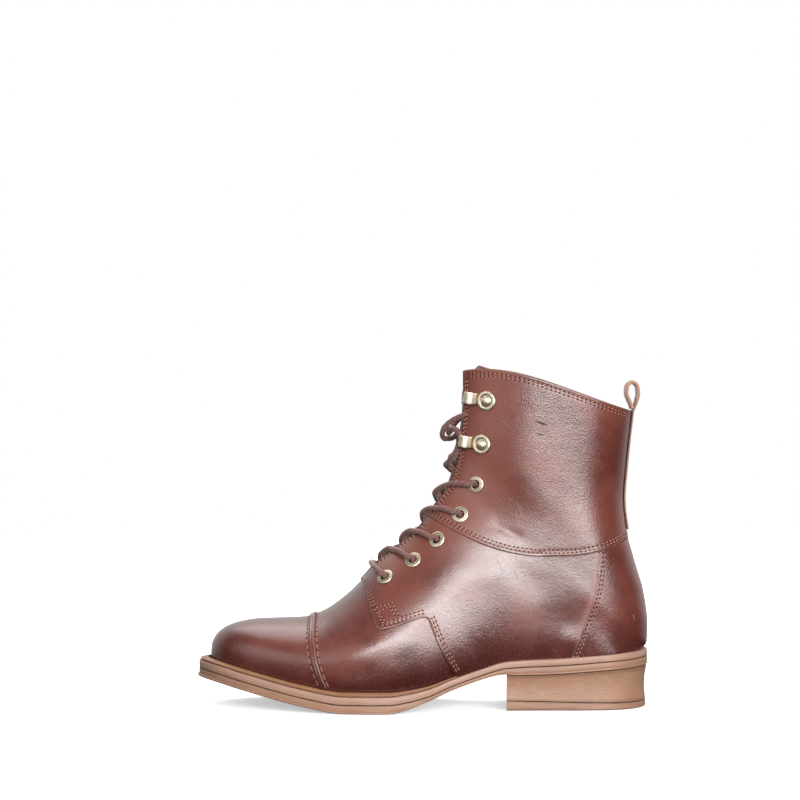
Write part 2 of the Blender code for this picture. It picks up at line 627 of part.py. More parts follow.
def shaft_seam_z(x):
    """Height of the shaft's lower edge."""
    return smooth(column(SHAFT_SEAM, "x"), column(SHAFT_SEAM, "z"), x)


def counter_seam_x(z):
    """The counter's front edge at a height."""
    return smooth(column(COUNTER_SEAM, "z"), column(COUNTER_SEAM, "x"), z)


def panel_foot_z(x):
    """The lower edge of the panels, clear of welt and midsole."""
    return sole_at("seat", x) + sole_at("rise", x) + PANEL_FOOT


def seam_line(first_x, last_x, height, shift, count=14):
    """Points along an edge that is a height over x."""
    x = np.linspace(first_x, last_x, count)
    return np.column_stack([x, height(x) + shift])


def build_upper():
    """The hollow upper and the panels on it: toe cap strip, quarters, counter and shaft."""
    foot_x = float(counter_seam_x(float(panel_foot_z(COUNTER_FOOT_X))))
    seam_z = np.linspace(float(panel_foot_z(foot_x)), float(shaft_seam_z(COUNTER_TOP_X)), 6)
    counter_edge = np.column_stack([counter_seam_x(seam_z), seam_z])
    half_seam = SEAM_GAP / 2

    front = np.array(QUARTER_FRONT)
    quarter = np.vstack([
        front,
        seam_line(QUARTER_FOOT_X, foot_x - CORNER, panel_foot_z, 0.0, 6),
        counter_edge - [half_seam, half_seam],
        seam_line(COUNTER_TOP_X - CORNER, SHAFT_SEAM[0].x, shaft_seam_z, -half_seam, 10),
    ])
    counter = np.vstack([
        counter_edge + [half_seam, -half_seam],
        seam_line(COUNTER_TOP_X + CORNER, SHAFT_SEAM[-1].x, shaft_seam_z, -half_seam, 5),
        [(BACK_X, SHAFT_SEAM[-1].z - half_seam), (BACK_X, float(panel_foot_z(HEEL_FOOT_X)))],
        seam_line(HEEL_FOOT_X, foot_x + CORNER, panel_foot_z, 0.0, 4),
    ])
    shaft = np.vstack([
        seam_line(SHAFT_SEAM[0].x, SHAFT_SEAM[-1].x, shaft_seam_z, half_seam, 15),
        [(BACK_X, SHAFT_SEAM[-1].z + half_seam), (BACK_X, ABOVE_COLLAR_Z), (FRONT_X, ABOVE_COLLAR_Z)],
    ])
    strip = curve_through(TOE_STRIP, 8)
    strip = np.vstack([strip - [TOE_STRIP_WIDTH / 2, 0], strip[::-1] + [TOE_STRIP_WIDTH / 2, 0]])

    upper = place("upper", shell("upper", 0, COLLAR, -WALL, 0.0, "boot leather"))
    panel("toe_cap_strip", (5, THROAT), TOE_STRIP_THICK, strip, -FAR, FAR)
    panel("counter", (12, 22), COUNTER_THICK, counter, -FAR, FAR)
    for side, word in ((LATERAL, "lateral"), (MEDIAL, "medial")):
        reach = (-FAR, -half_seam) if side == LATERAL else (half_seam, FAR)
        ridge = (-FAR, RIDGE_Y - GAP) if side == LATERAL else (RIDGE_Y + GAP, FAR)
        low = panel(f"quarter_{word}", (9, 20), QUARTER_THICK, quarter, *ridge)
        high = panel(f"shaft_{word}", (13, COLLAR), SHAFT_THICK, shaft, *reach)
        holes = eyelet_holes(f"eyelet_holes_{word}", side)
        for obj in (upper, low, high):
            boolean(obj, "DIFFERENCE", holes)


def fitting_matrix(place_on_side, side, lift):
    """Where a fitting sits: its X axis towards the throat, its Z axis out of the leather."""
    u, turn = FAN.locate(place_on_side)
    v = side * turn
    origin = FAN.point(u, v, lift)
    out = FAN.normal(np.array(u), np.array(v))
    towards_throat = v - side * 0.02
    forward = FAN.face(u, towards_throat) - FAN.face(u, v)
    forward -= out * forward.dot(out)
    forward /= np.linalg.norm(forward)
    across = np.cross(out, forward)
    matrix = Matrix.Identity(4)
    for axis, vector in enumerate((forward, across, out, origin * MM)):
        for row in range(3):
            matrix[row][axis] = vector[row]
    return matrix


def turned_rings(outline, sides):
    """Rings of points round the Z axis, one for each point of a turned outline."""
    angle = np.linspace(0.0, 2 * HALF_TURN, sides, endpoint=False)
    rows = [np.column_stack([p.radius * np.cos(angle), p.radius * np.sin(angle), np.full(sides, p.high)])
            for p in outline]
    return np.array(rows)


def eyelet_holes(name, side):
    """A guide: one pin for each eyelet's hole on one side."""
    points, faces = [], []
    pin = [Turned(EYELET_HOLE_RADIUS, -EYELET_PIN_REACH), Turned(EYELET_HOLE_RADIUS, EYELET_PIN_REACH)]
    for eyelet in EYELETS:
        rings, pin_faces = skin(turned_rings(pin, TURNED_SIDES))
        matrix = np.array(fitting_matrix(eyelet, side, 0.0))
        faces += [tuple(n + TURNED_SIDES * len(pin) * len(points) for n in face) for face in pin_faces]
        points.append(rings @ matrix[:3, :3].T + matrix[:3, 3] / MM)
    return place(name, make_mesh(name, np.vstack(points), faces, "boot leather"))


def build_fittings():
    """Eyelets, hooks and the hooks' rivets, each a copy of one mesh."""
    sides = TURNED_SIDES
    points, faces = skin(turned_rings(EYELET, sides))
    last = (len(EYELET) - 1) * sides
    inside = [(i, (i + 1) % sides, last + (i + 1) % sides, last + i) for i in range(sides)]
    without_ends = faces[2:]
    eyelet = make_mesh("eyelet", points, without_ends + inside, "antique brass")
    rivet = make_mesh("hook_rivet", *skin(turned_rings(RIVET, sides)), "antique brass")
    hook = make_mesh("hook", *skin(hook_rings()), "antique brass")
    for side, word in ((LATERAL, "lateral"), (MEDIAL, "medial")):
        for number, at in enumerate(EYELETS, 1):
            thick = QUARTER_THICK if number <= EYELETS_ON_QUARTER else SHAFT_THICK
            place(f"eyelet_{word}_{number}", eyelet, fitting_matrix(at, side, GAP + thick + FITTING_GAP))
        for number, at in enumerate(HOOKS, 1):
            plate_lift = GAP + SHAFT_THICK + FITTING_GAP
            rivet_lift = plate_lift + HOOK_PLATE + FITTING_GAP
            place(f"hook_{word}_{number}", hook, fitting_matrix(at, side, plate_lift))
            place(f"hook_rivet_{word}_{number}", rivet, fitting_matrix(at, side, rivet_lift))


def hook_rings():
    """Rectangles along the hook's plate, square to its bend."""
    along, high, half = (column(HOOK, name) for name in ("along", "high", "half"))
    slope = np.stack([np.gradient(along), np.gradient(high)], axis=-1)
    slope /= np.linalg.norm(slope, axis=-1, keepdims=True)
    slope[high == HOOK[0].high] = (1.0, 0.0)
    up = np.stack([-slope[:, 1], slope[:, 0]], axis=-1) * HOOK_PLATE / 2
    corners = [(-1, -1), (1, -1), (1, 1), (-1, 1)]
    rings = [np.column_stack([along + level * up[:, 0], width * half, high + level * up[:, 1]])
             for width, level in corners]
    return np.stack(rings, axis=1)


def build_tongue():
    """The tongue under the facings. It bulges into the throat and leans back at the top."""
    def reach(u):
        from_foot = min(max(u - TONGUE_ROWS[0], TONGUE_FOOT_SHARE), 1.0)
        width = FAN.value("throat", u) * from_foot + TONGUE_OVERLAP
        return np.arcsin(width / FAN.value("half", u))

    u, v, faces = fan_grid(TONGUE_ROWS, TONGUE_COLUMNS, lambda _: 0.0, reach)
    opening = np.interp(u, TONGUE_OPENING_ROWS, (0.0, 1.0))
    edge = np.arcsin(np.maximum(FAN.value("throat", u), 1.0) / FAN.value("half", u))
    bulge = TONGUE_BULGE * opening * np.clip(1 - (np.abs(v) / (TONGUE_BULGE_SHARE * edge)) ** 2, 0.0, 1.0)
    lean = TONGUE_LEAN * np.interp(u, TONGUE_LEAN_ROWS, (0.0, 1.0)) ** 2
    outer = FAN.point(u, v, bulge - WALL - TONGUE_GAP)
    inner = FAN.point(u, v, bulge - WALL - TONGUE_GAP - TONGUE_THICK)
    top = u > COLLAR
    for sheet in (outer, inner):
        sheet[:, 0] += lean
        sheet[top, 2] = TONGUE_TOP_Z - TONGUE_TOP_ROUND * (v[top] / v[top].max()) ** 2
    place("tongue", make_mesh("tongue", *closed_sheet(outer, inner, faces), "tongue leather"))


def build_pull_loop():
    """The back strip and the loop that it makes above the collar, as one strap."""
    strip_lift = GAP + SHAFT_THICK + GAP + STRAP_THICK / 2
    u = np.array([row for row in ROWS if row >= STRAP_FIRST_ROW], float)
    back = FAN.point(u, np.full(u.shape, HALF_TURN), strip_lift)[:, [0, 2]]
    loop = curve_through(PULL_LOOP, 18)
    path = np.vstack([back, loop])
    along = np.gradient(path, axis=0)
    along /= np.linalg.norm(along, axis=1, keepdims=True)
    out = np.stack([along[:, 1], -along[:, 0]], axis=-1)
    on_loop = np.clip((np.arange(len(path)) - len(back)) / LOOP_FADE_ROWS, 0.0, 1.0)
    thick = STRAP_THICK + (LOOP_THICK - STRAP_THICK) * on_loop
    share = np.linspace(-1.0, 1.0, 3)
    sheets = []
    for level in (0.5, -0.5):
        shift = level * thick[:, None] - STRAP_SAG * (1 - on_loop)[:, None] * share**2
        x = path[:, :1] + out[:, :1] * shift
        z = path[:, 1:] + out[:, 1:] * shift
        y = np.broadcast_to(share * STRAP_WIDTH / 2, x.shape)
        sheets.append(np.stack([x, y, z], axis=-1))
    rings = np.concatenate([sheets[0], sheets[1][:, ::-1]], axis=1)
    swept("pull_loop", rings, "boot leather")


def tube_rings(path, radius, sides):
    """Rings along a path, with no twist from one to the next."""
    along = np.gradient(path, axis=0)
    along /= np.linalg.norm(along, axis=1, keepdims=True)
    angle = np.linspace(0.0, 2 * HALF_TURN, sides, endpoint=False)
    across = np.cross(along[0], [0.0, 0.0, 1.0])
    rings = []
    for middle, ahead in zip(path, along):
        across = across - ahead * across.dot(ahead)
        across /= np.linalg.norm(across)
        other = np.cross(ahead, across)
        rings.append(middle + radius * (np.outer(np.cos(angle), across) + np.outer(np.sin(angle), other)))
    return np.array(rings)


def lace_run(start, middle, edge, end):
    """A stretch of lace over the tongue, from its places on the fan: u, v and lift."""
    route = np.array([FAN.point(*at) for at in (start, middle, edge, end)])
    return tube_rings(curve_through(route, 6), LACE_RADIUS, LACE_SIDES)


def build_lace():
    """The straight bar, the crossings between the levels of eyelets, and the half knot's two ends."""
    over_panel = GAP + SHAFT_THICK + LACE_RADIUS
    levels = [FAN.locate(at) for at in (*EYELETS, UNDER_HOOK)]

    def crossing_end(number, side, spread):
        u, turn = levels[number]
        edge_turn = float(FAN.throat_turn(u))
        edge = (u - spread, side * edge_turn, over_panel + LACE_EDGE_RISE)
        return edge, (u, side * turn, over_panel + LACE_END_RISE)

    edge, end = crossing_end(0, MEDIAL, 0.0)
    other_edge, other_end = crossing_end(0, LATERAL, 0.0)
    over_ridge = (levels[0][0], 0.0, LACE_BAR_LIFT)
    bar = np.array([FAN.point(*at) for at in (other_end, other_edge, over_ridge, edge, end)])
    swept("lace_bar_1", tube_rings(curve_through(bar, 11), LACE_RADIUS, LACE_SIDES), "lace cord")

    for number in range(1, len(levels)):
        low_u, high_u = levels[number - 1][0], levels[number][0]
        strands = []
        for side, word in ((LATERAL, "lateral"), (MEDIAL, "medial")):
            start_u = low_u + LACE_START_SHARE * (high_u - low_u)
            start_v = -side * LACE_START_TURN * float(FAN.throat_turn(start_u))
            start = (start_u, start_v, LACE_START_LIFT)
            middle = (low_u + LACE_CROSSING_SHARE * (high_u - low_u), 0.0, LACE_CROSSING_LIFT)
            ends = crossing_end(number, side, LACE_SPREAD)
            name = f"lace_cross_{number}" if side == LATERAL else f"lace_cross_{number}_{word}"
            strands.append(swept(name, lace_run(start, middle, *ends), "lace cord"))
        boolean(strands[0], "UNION", strands[1])

    for name, route in (("lace_knot_outer", KNOT_OUTER), ("lace_knot_inner", KNOT_INNER)):
        cord(name, curve_through(route, 11))


def cord(name, path):
    """A free stretch of lace: a curve with a round bevel and closed ends."""
    curve = bpy.data.curves.new(name, "CURVE")
    curve.dimensions = "3D"
    curve.bevel_depth = LACE_RADIUS * MM
    curve.bevel_resolution = 1
    curve.use_fill_caps = True
    spline = curve.splines.new("POLY")
    spline.points.add(len(path) - 1)
    for knot, point in zip(spline.points, path * MM):
        knot.co = (*point, 1.0)
    curve.materials.append(material("lace cord"))
    place(name, curve)


for leftover in list(bpy.data.objects):
    bpy.data.objects.remove(leftover, do_unlink=True)

BOOT = bpy.data.objects.new("boot", None)
bpy.context.scene.collection.objects.link(BOOT)

build_sole()
build_welt()
build_upper()
build_tongue()
build_pull_loop()
build_fittings()
build_lace()
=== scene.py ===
"""Looks of the lace-up ankle boot: leather, stitching, fittings, lace, sole, and the studio around it.

Tables and sizes are in millimetres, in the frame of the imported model: the toe points to -X, the outer
(lateral) side to -Y, +Z is up, and the boot stands on z = 0.
"""

import logging
import math
from collections.abc import Callable, Iterable
from dataclasses import dataclass, field
from enum import Enum, IntEnum
from typing import NamedTuple

import bmesh
import bpy
import numpy as np
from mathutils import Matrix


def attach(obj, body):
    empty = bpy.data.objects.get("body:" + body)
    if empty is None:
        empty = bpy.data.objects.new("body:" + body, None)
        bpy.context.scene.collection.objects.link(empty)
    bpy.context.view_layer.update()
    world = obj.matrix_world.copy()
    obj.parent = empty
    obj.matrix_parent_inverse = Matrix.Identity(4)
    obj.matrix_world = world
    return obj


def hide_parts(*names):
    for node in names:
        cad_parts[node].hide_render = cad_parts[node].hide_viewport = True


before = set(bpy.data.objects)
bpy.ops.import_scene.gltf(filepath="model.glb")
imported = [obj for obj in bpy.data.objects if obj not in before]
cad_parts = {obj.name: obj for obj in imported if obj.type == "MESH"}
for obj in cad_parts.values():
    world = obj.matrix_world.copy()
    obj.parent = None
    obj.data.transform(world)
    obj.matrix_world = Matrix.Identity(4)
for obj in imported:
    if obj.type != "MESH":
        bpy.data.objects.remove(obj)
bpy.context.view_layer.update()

Array = np.ndarray
Pair = tuple[Array, Array]
Heights = Callable[[Array], Array]
Mesh, Object = bpy.types.Mesh, bpy.types.Object
Material, Socket = bpy.types.Material, bpy.types.NodeSocket
LOG = logging.getLogger("boot")
MM = 0.001
HALF_TURN = math.pi

# Sections of the upper where something starts: the throat's foot, the back of the heel and the collar
THROAT, HEEL, COLLAR = 10, 17, 25
THROAT_ROUND = 1.2
LOWER_ARC_POWER = 2.6
RISE_POWER = 0.78
STEP_ABOVE_COLLAR = 10.0
HEEL_BLEND = 0.5
HEEL_BLEND_WIDE = 0.9

# Leather thicknesses and the clearances between pieces
GAP = 0.3
WALL = 1.6
SEAM_GAP = 0.4
PANEL_FOOT = 0.5
UPPER_FOOT = 0.45
RIDGE_TURN = 0.006

# How far behind the facings the leather is warm in tone, and how high above the sole its colour is deepened
# as painted shade, highest at the waist, with a band of painted shade along the foot
WARM_REACH = (12.0, 36.0)
WAIST_X, WAIST_WIDE = 10.0, 62.0
PAINTED_SHADE_FROM, PAINTED_SHADE_TO, PAINTED_SHADE_TO_AT_WAIST = 3.0, 16.0, 22.0
FOOT_SHADE_LINE = (0.5, 5.0)


class Side(IntEnum):
    """The two sides of the boot, by the sign of their Y."""

    LATERAL = -1
    MEDIAL = 1


class Leather(Enum):
    """Leather panels by how thick they are on the upper."""

    STRIP = 1.0
    QUARTER = 1.0
    COUNTER = 1.3
    SHAFT = 1.5


class Level(Enum):
    """Levels of the sole: the seat, the undersides of two layers, the wearing piece's top, the ground."""

    SEAT = "seat"
    MIDSOLE = "midsole"
    OUTSOLE = "outsole"
    WEAR = "wear"
    GROUND = "ground"


class Plan(NamedTuple):
    """The line where upper and sole meet, from above: its middle and half its width."""

    name: str
    x: float
    middle: float
    half: float


class Sole(NamedTuple):
    """The sole from the side: midsole top, two layers, how far they stand out, and the welt's height."""

    name: str
    x: float
    seat: float
    midsole: float
    outsole: float
    ledge: float
    rise: float


class Section(NamedTuple):
    """A section of the upper from a point on the ridge to a point on the base."""

    name: str
    ridge_x: float
    ridge_z: float
    ridge_y: float
    base_x: float
    base_z: float
    swell: float
    wide: float
    crown: float
    rise: float = 0.0
    throat: float = 0.0


class Place(NamedTuple):
    """A place in the side view."""

    x: float
    z: float


class Route(NamedTuple):
    """A point of a cord's route."""

    x: float
    y: float
    z: float


class Edge(NamedTuple):
    """A point up the edge of a sole layer: share of its height, out of the ledge, and out of the rim."""

    share: float
    out: float
    rim: float = 0.0


class WeltLine(NamedTuple):
    """A line of the welt's section: share of the way out, inset, share of its height, and its corner."""

    share: float
    inset: float
    lift: float
    corner: float


class Turned(NamedTuple):
    """A point of a turned outline."""

    radius: float
    high: float


class Plate(NamedTuple):
    """A station along the hook's plate: its place, its height and half its width."""

    along: float
    high: float
    half: float


class Crease(NamedTuple):
    """A soft trough, or a ridge where deep is negative, along a line in the side view."""

    name: str
    start: Place
    end: Place
    wide: float
    deep: float


class Scuff(NamedTuple):
    """A small mark on the outer side: its two ends, its width, and whether it is paler than the leather."""

    start: Place
    end: Place
    wide: float
    pale: bool


def rows_of(kind: type, *rows: tuple) -> tuple:
    """A table whose rows are of one kind."""
    return tuple(kind(*row) for row in rows)


PLAN = rows_of(
    Plan,
    ("toe tip", -129.4, 6.0, 0.0),
    ("toe round", -126.0, 5.8, 11.2),
    ("toe shoulder", -120.0, 5.7, 19.2),
    ("toe side", -110.0, 5.4, 27.0),
    ("toe cap", -95.0, 4.6, 34.0),
    ("toe cap seam", -75.0, 3.0, 39.5),
    ("inner ball", -55.0, 1.2, 42.5),
    ("outer ball", -35.0, -0.8, 43.2),
    ("behind ball", -15.0, -2.4, 40.6),
    ("waist front", 5.0, -3.0, 36.0),
    ("waist", 25.0, -2.8, 31.4),
    ("breast", 45.0, -2.0, 28.8),
    ("heel front", 65.0, -0.9, 28.4),
    ("heel middle", 90.0, -0.2, 29.2),
    ("heel side", 110.0, 0.0, 28.0),
    ("heel turn", 122.0, 0.0, 23.6),
    ("heel round", 130.0, 0.0, 16.2),
    ("heel back", 135.4, 0.0, 0.0),
)

TOE_X, HEEL_X = PLAN[0].x, PLAN[-1].x

SOLE = rows_of(
    Sole,
    ("toe edge", -137.5, 27.6, 4.8, 5.2, 7.2, 2.4),
    ("toe", -129.0, 26.6, 4.8, 5.2, 7.0, 2.4),
    ("toe side", -109.0, 22.3, 4.8, 5.2, 6.3, 2.5),
    ("toe cap", -90.0, 17.8, 4.8, 5.2, 5.8, 2.5),
    ("toe cap seam", -73.0, 14.0, 4.8, 5.2, 5.5, 2.5),
    ("tread front", -46.0, 10.0, 4.8, 5.2, 5.3, 2.5),
    ("tread back", -20.0, 10.0, 4.8, 5.2, 5.2, 2.4),
    ("tread lift", -10.0, 11.2, 4.7, 4.4, 4.8, 2.2),
    ("waist front", 4.0, 14.2, 4.3, 2.9, 4.0, 1.7),
    ("waist", 16.0, 18.7, 3.9, 2.6, 3.2, 1.0),
    ("waist back", 34.5, 24.9, 3.8, 2.6, 2.4, 0.4),
    ("breast", 50.0, 29.3, 4.0, 3.6, 2.4, 0.0),
    ("heel front", 56.0, 29.9, 4.1, 4.8, 2.6, 0.0),
    ("heel", 82.0, 31.2, 4.2, 5.2, 2.7, 0.0),
    ("heel side", 107.0, 33.0, 4.2, 5.2, 2.6, 0.0),
    ("heel back", 138.0, 35.0, 4.2, 5.2, 2.1, 0.0),
)

SECTIONS = rows_of(
    Section,
    ("toe tip", -129.4, 26.9, 6.0, -129.4, 26.9, 0.2, 0.85, 0.80),
    ("toe front", -128.9, 36.2, 6.0, -128.2, 26.8, 0.5, 0.85, 0.80),
    ("toe round", -126.0, 42.4, 5.9, -124.6, 26.1, 0.8, 0.85, 0.75),
    ("toe shoulder", -119.8, 47.4, 5.8, -118.6, 24.9, 1.2, 0.78, 0.75),
    ("toe side", -110.4, 50.6, 5.6, -110.2, 22.9, 1.4, 0.74, 0.78),
    ("toe top", -99.4, 52.2, 5.2, -99.4, 20.3, 1.8, 0.72, 0.82),
    ("toe cap", -86.0, 52.7, 4.6, -86.0, 17.2, 2.2, 0.70, 0.88),
    ("toe cap seam", -71.5, 53.4, 3.8, -70.0, 13.7, 2.6, 0.68, 0.95),
    ("vamp", -60.0, 57.4, 3.2, -55.0, 11.3, 4.2, 0.64, 1.05),
    ("ball", -48.0, 65.6, 2.8, -38.0, 10.3, 5.4, 0.60, 1.15),
    ("throat foot", -36.5, 76.4, 2.4, -20.0, 10.3, 6.0, 0.58, 1.22, 0.0, 8.5),
    ("first eyelet", -26.4, 87.9, 2.0, -2.0, 12.9, 6.4, 0.56, 1.22, 0.0, 9.0),
    ("instep", -13.9, 98.0, 1.7, 16.0, 19.0, 6.6, 0.53, 1.20, 0.0, 9.5),
    ("third eyelet", -2.5, 109.0, 1.4, 38.0, 26.2, 6.2, 0.50, 1.15, 0.0, 10.0),
    ("ankle bend", 4.5, 119.2, 1.1, 53.0, 30.0, 5.6, 0.49, 1.10, 0.0, 10.4),
    ("ankle", 9.8, 128.0, 0.8, 81.0, 31.4, 4.4, 0.51, 1.02, 0.0, 10.8),
    ("heel slant", 13.4, 135.2, 0.5, 109.0, 35.2, 4.0, 0.53, 0.95, 0.0, 11.2),
    ("heel back", 15.6, 141.6, 0.3, 135.4, 35.2, 31.9, 0.55, 0.90, 0.0, 11.5),
    ("counter low", 17.2, 148.0, 0.2, 136.2, 50.0, 31.5, 0.53, 0.93, 0.0, 11.8),
    ("counter top", 18.7, 155.0, 0.1, 134.0, 68.0, 31.3, 0.52, 0.97, 0.0, 12.0),
    ("above heel", 20.0, 162.0, 0.0, 128.3, 88.0, 31.5, 0.51, 1.00, 0.0, 12.2),
    ("ankle back", 21.0, 168.6, 0.0, 123.4, 107.0, 31.7, 0.50, 1.00, 0.6, 12.4),
    ("shaft low", 21.9, 175.6, 0.0, 121.4, 126.0, 32.0, 0.50, 1.00, 1.7, 12.6),
    ("shaft", 22.4, 184.0, 0.0, 122.8, 145.0, 32.3, 0.50, 1.00, 3.8, 12.8),
    ("shaft high", 22.4, 193.0, 0.0, 124.6, 162.5, 32.7, 0.50, 1.00, 6.4, 13.0),
    ("collar", 22.3, 202.6, 0.0, 126.6, 179.6, 33.2, 0.50, 1.00, 9.3, 13.2),
)

SHAFT_SEAM = rows_of(
    Place, (-2.0, 118.5), (4.6, 115.0), (21.4, 106.0), (38.0, 98.4), (55.0, 93.8), (72.0, 92.0),
    (88.0, 92.2), (105.0, 94.6), (115.0, 98.0), (127.0, 103.4), (142.0, 109.0))
COUNTER_SEAM = rows_of(
    Place, (86.0, 25.0), (97.0, 53.0), (103.0, 72.0), (105.3, 90.0), (106.0, 100.0))
TOE_STRIP = rows_of(
    Place, (-58.6, 15.2), (-61.5, 22.0), (-65.0, 34.0), (-66.3, 46.0), (-66.3, 75.0))
QUARTER_FRONT = rows_of(
    Place, (-35.6, 75.6), (-32.4, 64.5), (-28.6, 53.4), (-27.2, 50.4), (-24.4, 49.4), (-18.2, 50.6),
    (-9.1, 53.6), (-0.7, 56.4), (2.2, 56.6), (4.0, 54.6), (5.8, 49.4), (9.0, 41.6), (12.8, 33.2),
    (19.4, 21.6))
QUARTER_START_U = 9.94
COUNTER_FOOT_X = 88.0
COUNTER_TOP_X = 105.3

EYELETS = rows_of(
    Place, (-21.8, 78.8), (-5.1, 89.1), (9.4, 101.5), (23.3, 116.4), (33.0, 134.9))
EYELETS_ON_QUARTER = 3
HOOKS = rows_of(
    Place, (36.7, 159.3), (39.6, 185.5))
UNDER_HOOK = Place(24.0, 153.5)
IN_HOOK = Place(25.6, 160.4)
FITTING_AHEAD = (-1.0, 0.0, 0.13)

KNOT_OUTER = rows_of(
    Route, (22.4, -15.2, 166.5), (20.6, -12.8, 168.0), (18.2, -9.5, 168.6), (16.2, -5.0, 167.6),
    (16.4, -0.6, 165.8), (18.0, 4.0, 167.4), (20.2, 8.6, 171.4), (23.6, 12.4, 174.6), (28.0, 15.4, 176.4))
KNOT_INNER = rows_of(
    Route, (22.4, 15.2, 166.5), (20.4, 11.2, 163.8), (17.4, 6.6, 162.4), (14.2, 2.4, 162.4),
    (12.4, -1.6, 164.8), (13.2, -4.6, 168.4), (15.8, -6.8, 171.6), (19.4, -9.4, 174.2),
    (23.6, -12.4, 176.2), (28.0, -15.4, 177.6))

PULL_LOOP = rows_of(
    Place, (129.9, 181.0), (130.9, 185.0), (131.9, 190.0), (131.4, 194.4), (128.4, 197.0), (125.3, 194.6),
    (124.8, 190.6), (126.2, 186.2), (127.6, 183.0), (128.2, 180.8))

# Soft folds of the worn leather, as they run on the boot's side
CREASES = rows_of(
    Crease,
    ("vamp, under the tab", (-40.0, 33.0), (-4.0, 46.0), 8.0, -0.6),
    ("vamp, trough over the welt", (-46.0, 22.0), (-30.0, 26.0), 5.0, 0.4),
    ("vamp, ridge over the welt", (-50.0, 15.0), (-36.0, 17.0), 4.0, -0.3),
    ("quarter, above the waist", (56.0, 68.0), (98.0, 66.0), 12.0, -0.3),
    ("quarter, trough at the waist", (66.0, 52.0), (98.0, 54.0), 8.0, 0.35),
    ("quarter, low ridge", (84.0, 41.0), (94.0, 43.0), 6.0, -0.5),
    ("shaft, wrinkle over the seam", (43.0, 111.0), (59.0, 103.5), 2.6, 0.4),
    ("shaft, broad trough", (34.0, 126.0), (66.0, 112.0), 9.0, 0.35),
    ("ankle, behind the lacing", (16.0, 98.0), (40.0, 88.0), 8.0, 0.35),
)

SCUFFS = rows_of(
    Scuff,
    ((68.0, 173.4), (74.6, 170.9), 1.3, False),
    ((69.0, 165.9), (72.4, 164.9), 1.2, False),
    ((62.0, 145.8), (67.4, 143.9), 0.6, True),
    ((52.4, 126.8), (53.4, 126.0), 0.9, True),
    ((57.0, 125.0), (60.6, 115.0), 0.45, True),
    ((46.5, 175.2), (54.0, 168.9), 0.4, True),
    ((44.5, 90.5), (48.0, 83.0), 0.9, True),
    ((55.2, 85.5), (56.8, 78.0), 0.7, True),
    ((58.6, 65.4), (59.6, 64.6), 1.1, True),
    ((126.0, 57.0), (127.0, 52.6), 0.8, True),
)


def column(table: tuple, name: str) -> Array:
    """One named column of a table."""
    return np.array([getattr(row, name) for row in table], float)


def fade(value: Array, low: float, high: float) -> Array:
    """Smooth step: 0 up to low, 1 from high, with level ends."""
    share = np.clip((np.asarray(value, float) - low) / (high - low), 0.0, 1.0)
    return share * share * (3 - 2 * share)


def smooth(knots: Array, values: Array, at: Array) -> Array:
    """A monotone cubic curve through a table, whose slopes are weighted harmonic means of its steps.

    Args:
        knots: rising places of the table's rows.
        values: the table's values there.
        at: where the curve is read; past the ends it stays at the end's place.

    Returns:
        The curve's values.
    """
    step = np.diff(knots)
    slope = np.diff(values) / step
    before, after = slope[:-1], slope[1:]
    weight_before = step[:-1] + 2 * step[1:]
    weight_after = 2 * step[:-1] + step[1:]
    one_way = before * after > 0
    safe_before = np.where(one_way, before, 1.0)
    safe_after = np.where(one_way, after, 1.0)
    mean = (weight_before + weight_after) / (weight_before / safe_before + weight_after / safe_after)
    tangent = np.concatenate([slope[:1], np.where(one_way, mean, 0.0), slope[-1:]])
    at = np.clip(np.asarray(at, float), knots[0], knots[-1])
    i = np.clip(np.searchsorted(knots, at, side="right") - 1, 0, len(step) - 1)
    t = (at - knots[i]) / step[i]
    near = values[i] * (1 + 2 * t) + tangent[i] * step[i] * t
    far = values[i + 1] * (3 - 2 * t) - tangent[i + 1] * step[i] * (1 - t)
    return near * (1 - t) ** 2 + far * t**2


def plan_at(x: Array) -> Pair:
    """Middle and half width of the sole line at x; the width's square is smooth, which rounds both ends."""
    half = np.sqrt(np.maximum(smooth(column(PLAN, "x"), column(PLAN, "half") ** 2, x), 0.0))
    return smooth(column(PLAN, "x"), column(PLAN, "middle"), x), half


def sole_at(name: str, x: Array) -> Array:
    """One column of the sole's table at x."""
    return smooth(column(SOLE, "x"), column(SOLE, name), x)


def lengths(points: Array, axis: int = 0) -> Array:
    """Length run along an axis of a grid of points, from 0 at its start."""
    steps = np.linalg.norm(np.diff(points, axis=axis), axis=-1)
    return np.insert(np.cumsum(steps, axis=axis), 0, 0.0, axis=axis)


def curve_through(points: Array, count: int, straight: bool = False) -> Array:
    """Evenly spaced points on a smooth curve, or on straight lines, through a table of places.

    Args:
        points: the places.
        count: how many points.
        straight: whether the lines between the places are straight.

    Returns:
        The points.
    """
    points = np.asarray(points, float)
    along = lengths(points)
    at = np.linspace(0.0, along[-1], count)
    return np.column_stack([np.interp(at, along, values) if straight else smooth(along, values, at)
                            for values in points.T])


def gathered(count: int) -> Array:
    """Shares from 0 to 1 along a half cosine, so that they are closer at both ends."""
    return (1 - np.cos(np.linspace(0.0, HALF_TURN, count))) / 2


def unit(vectors: Array) -> Array:
    """Vectors at length one."""
    return vectors / np.maximum(np.linalg.norm(vectors, axis=-1, keepdims=True), 1e-12)


def crossing(function: Heights, low: float, high: float, count: int) -> Array:
    """Where a rising function is zero, by halving the span between two places.

    Args:
        function: works on arrays, below zero at low and above it at high.
        low: where the search starts.
        high: where it ends.
        count: how many zeros, one for each number of the function's arrays.

    Returns:
        The places of the zeros.
    """
    low, high = np.full(count, float(low)), np.full(count, float(high))
    for _ in range(44):
        middle = (low + high) / 2
        above = function(middle) > 0
        high = np.where(above, middle, high)
        low = np.where(above, low, middle)
    return (low + high) / 2


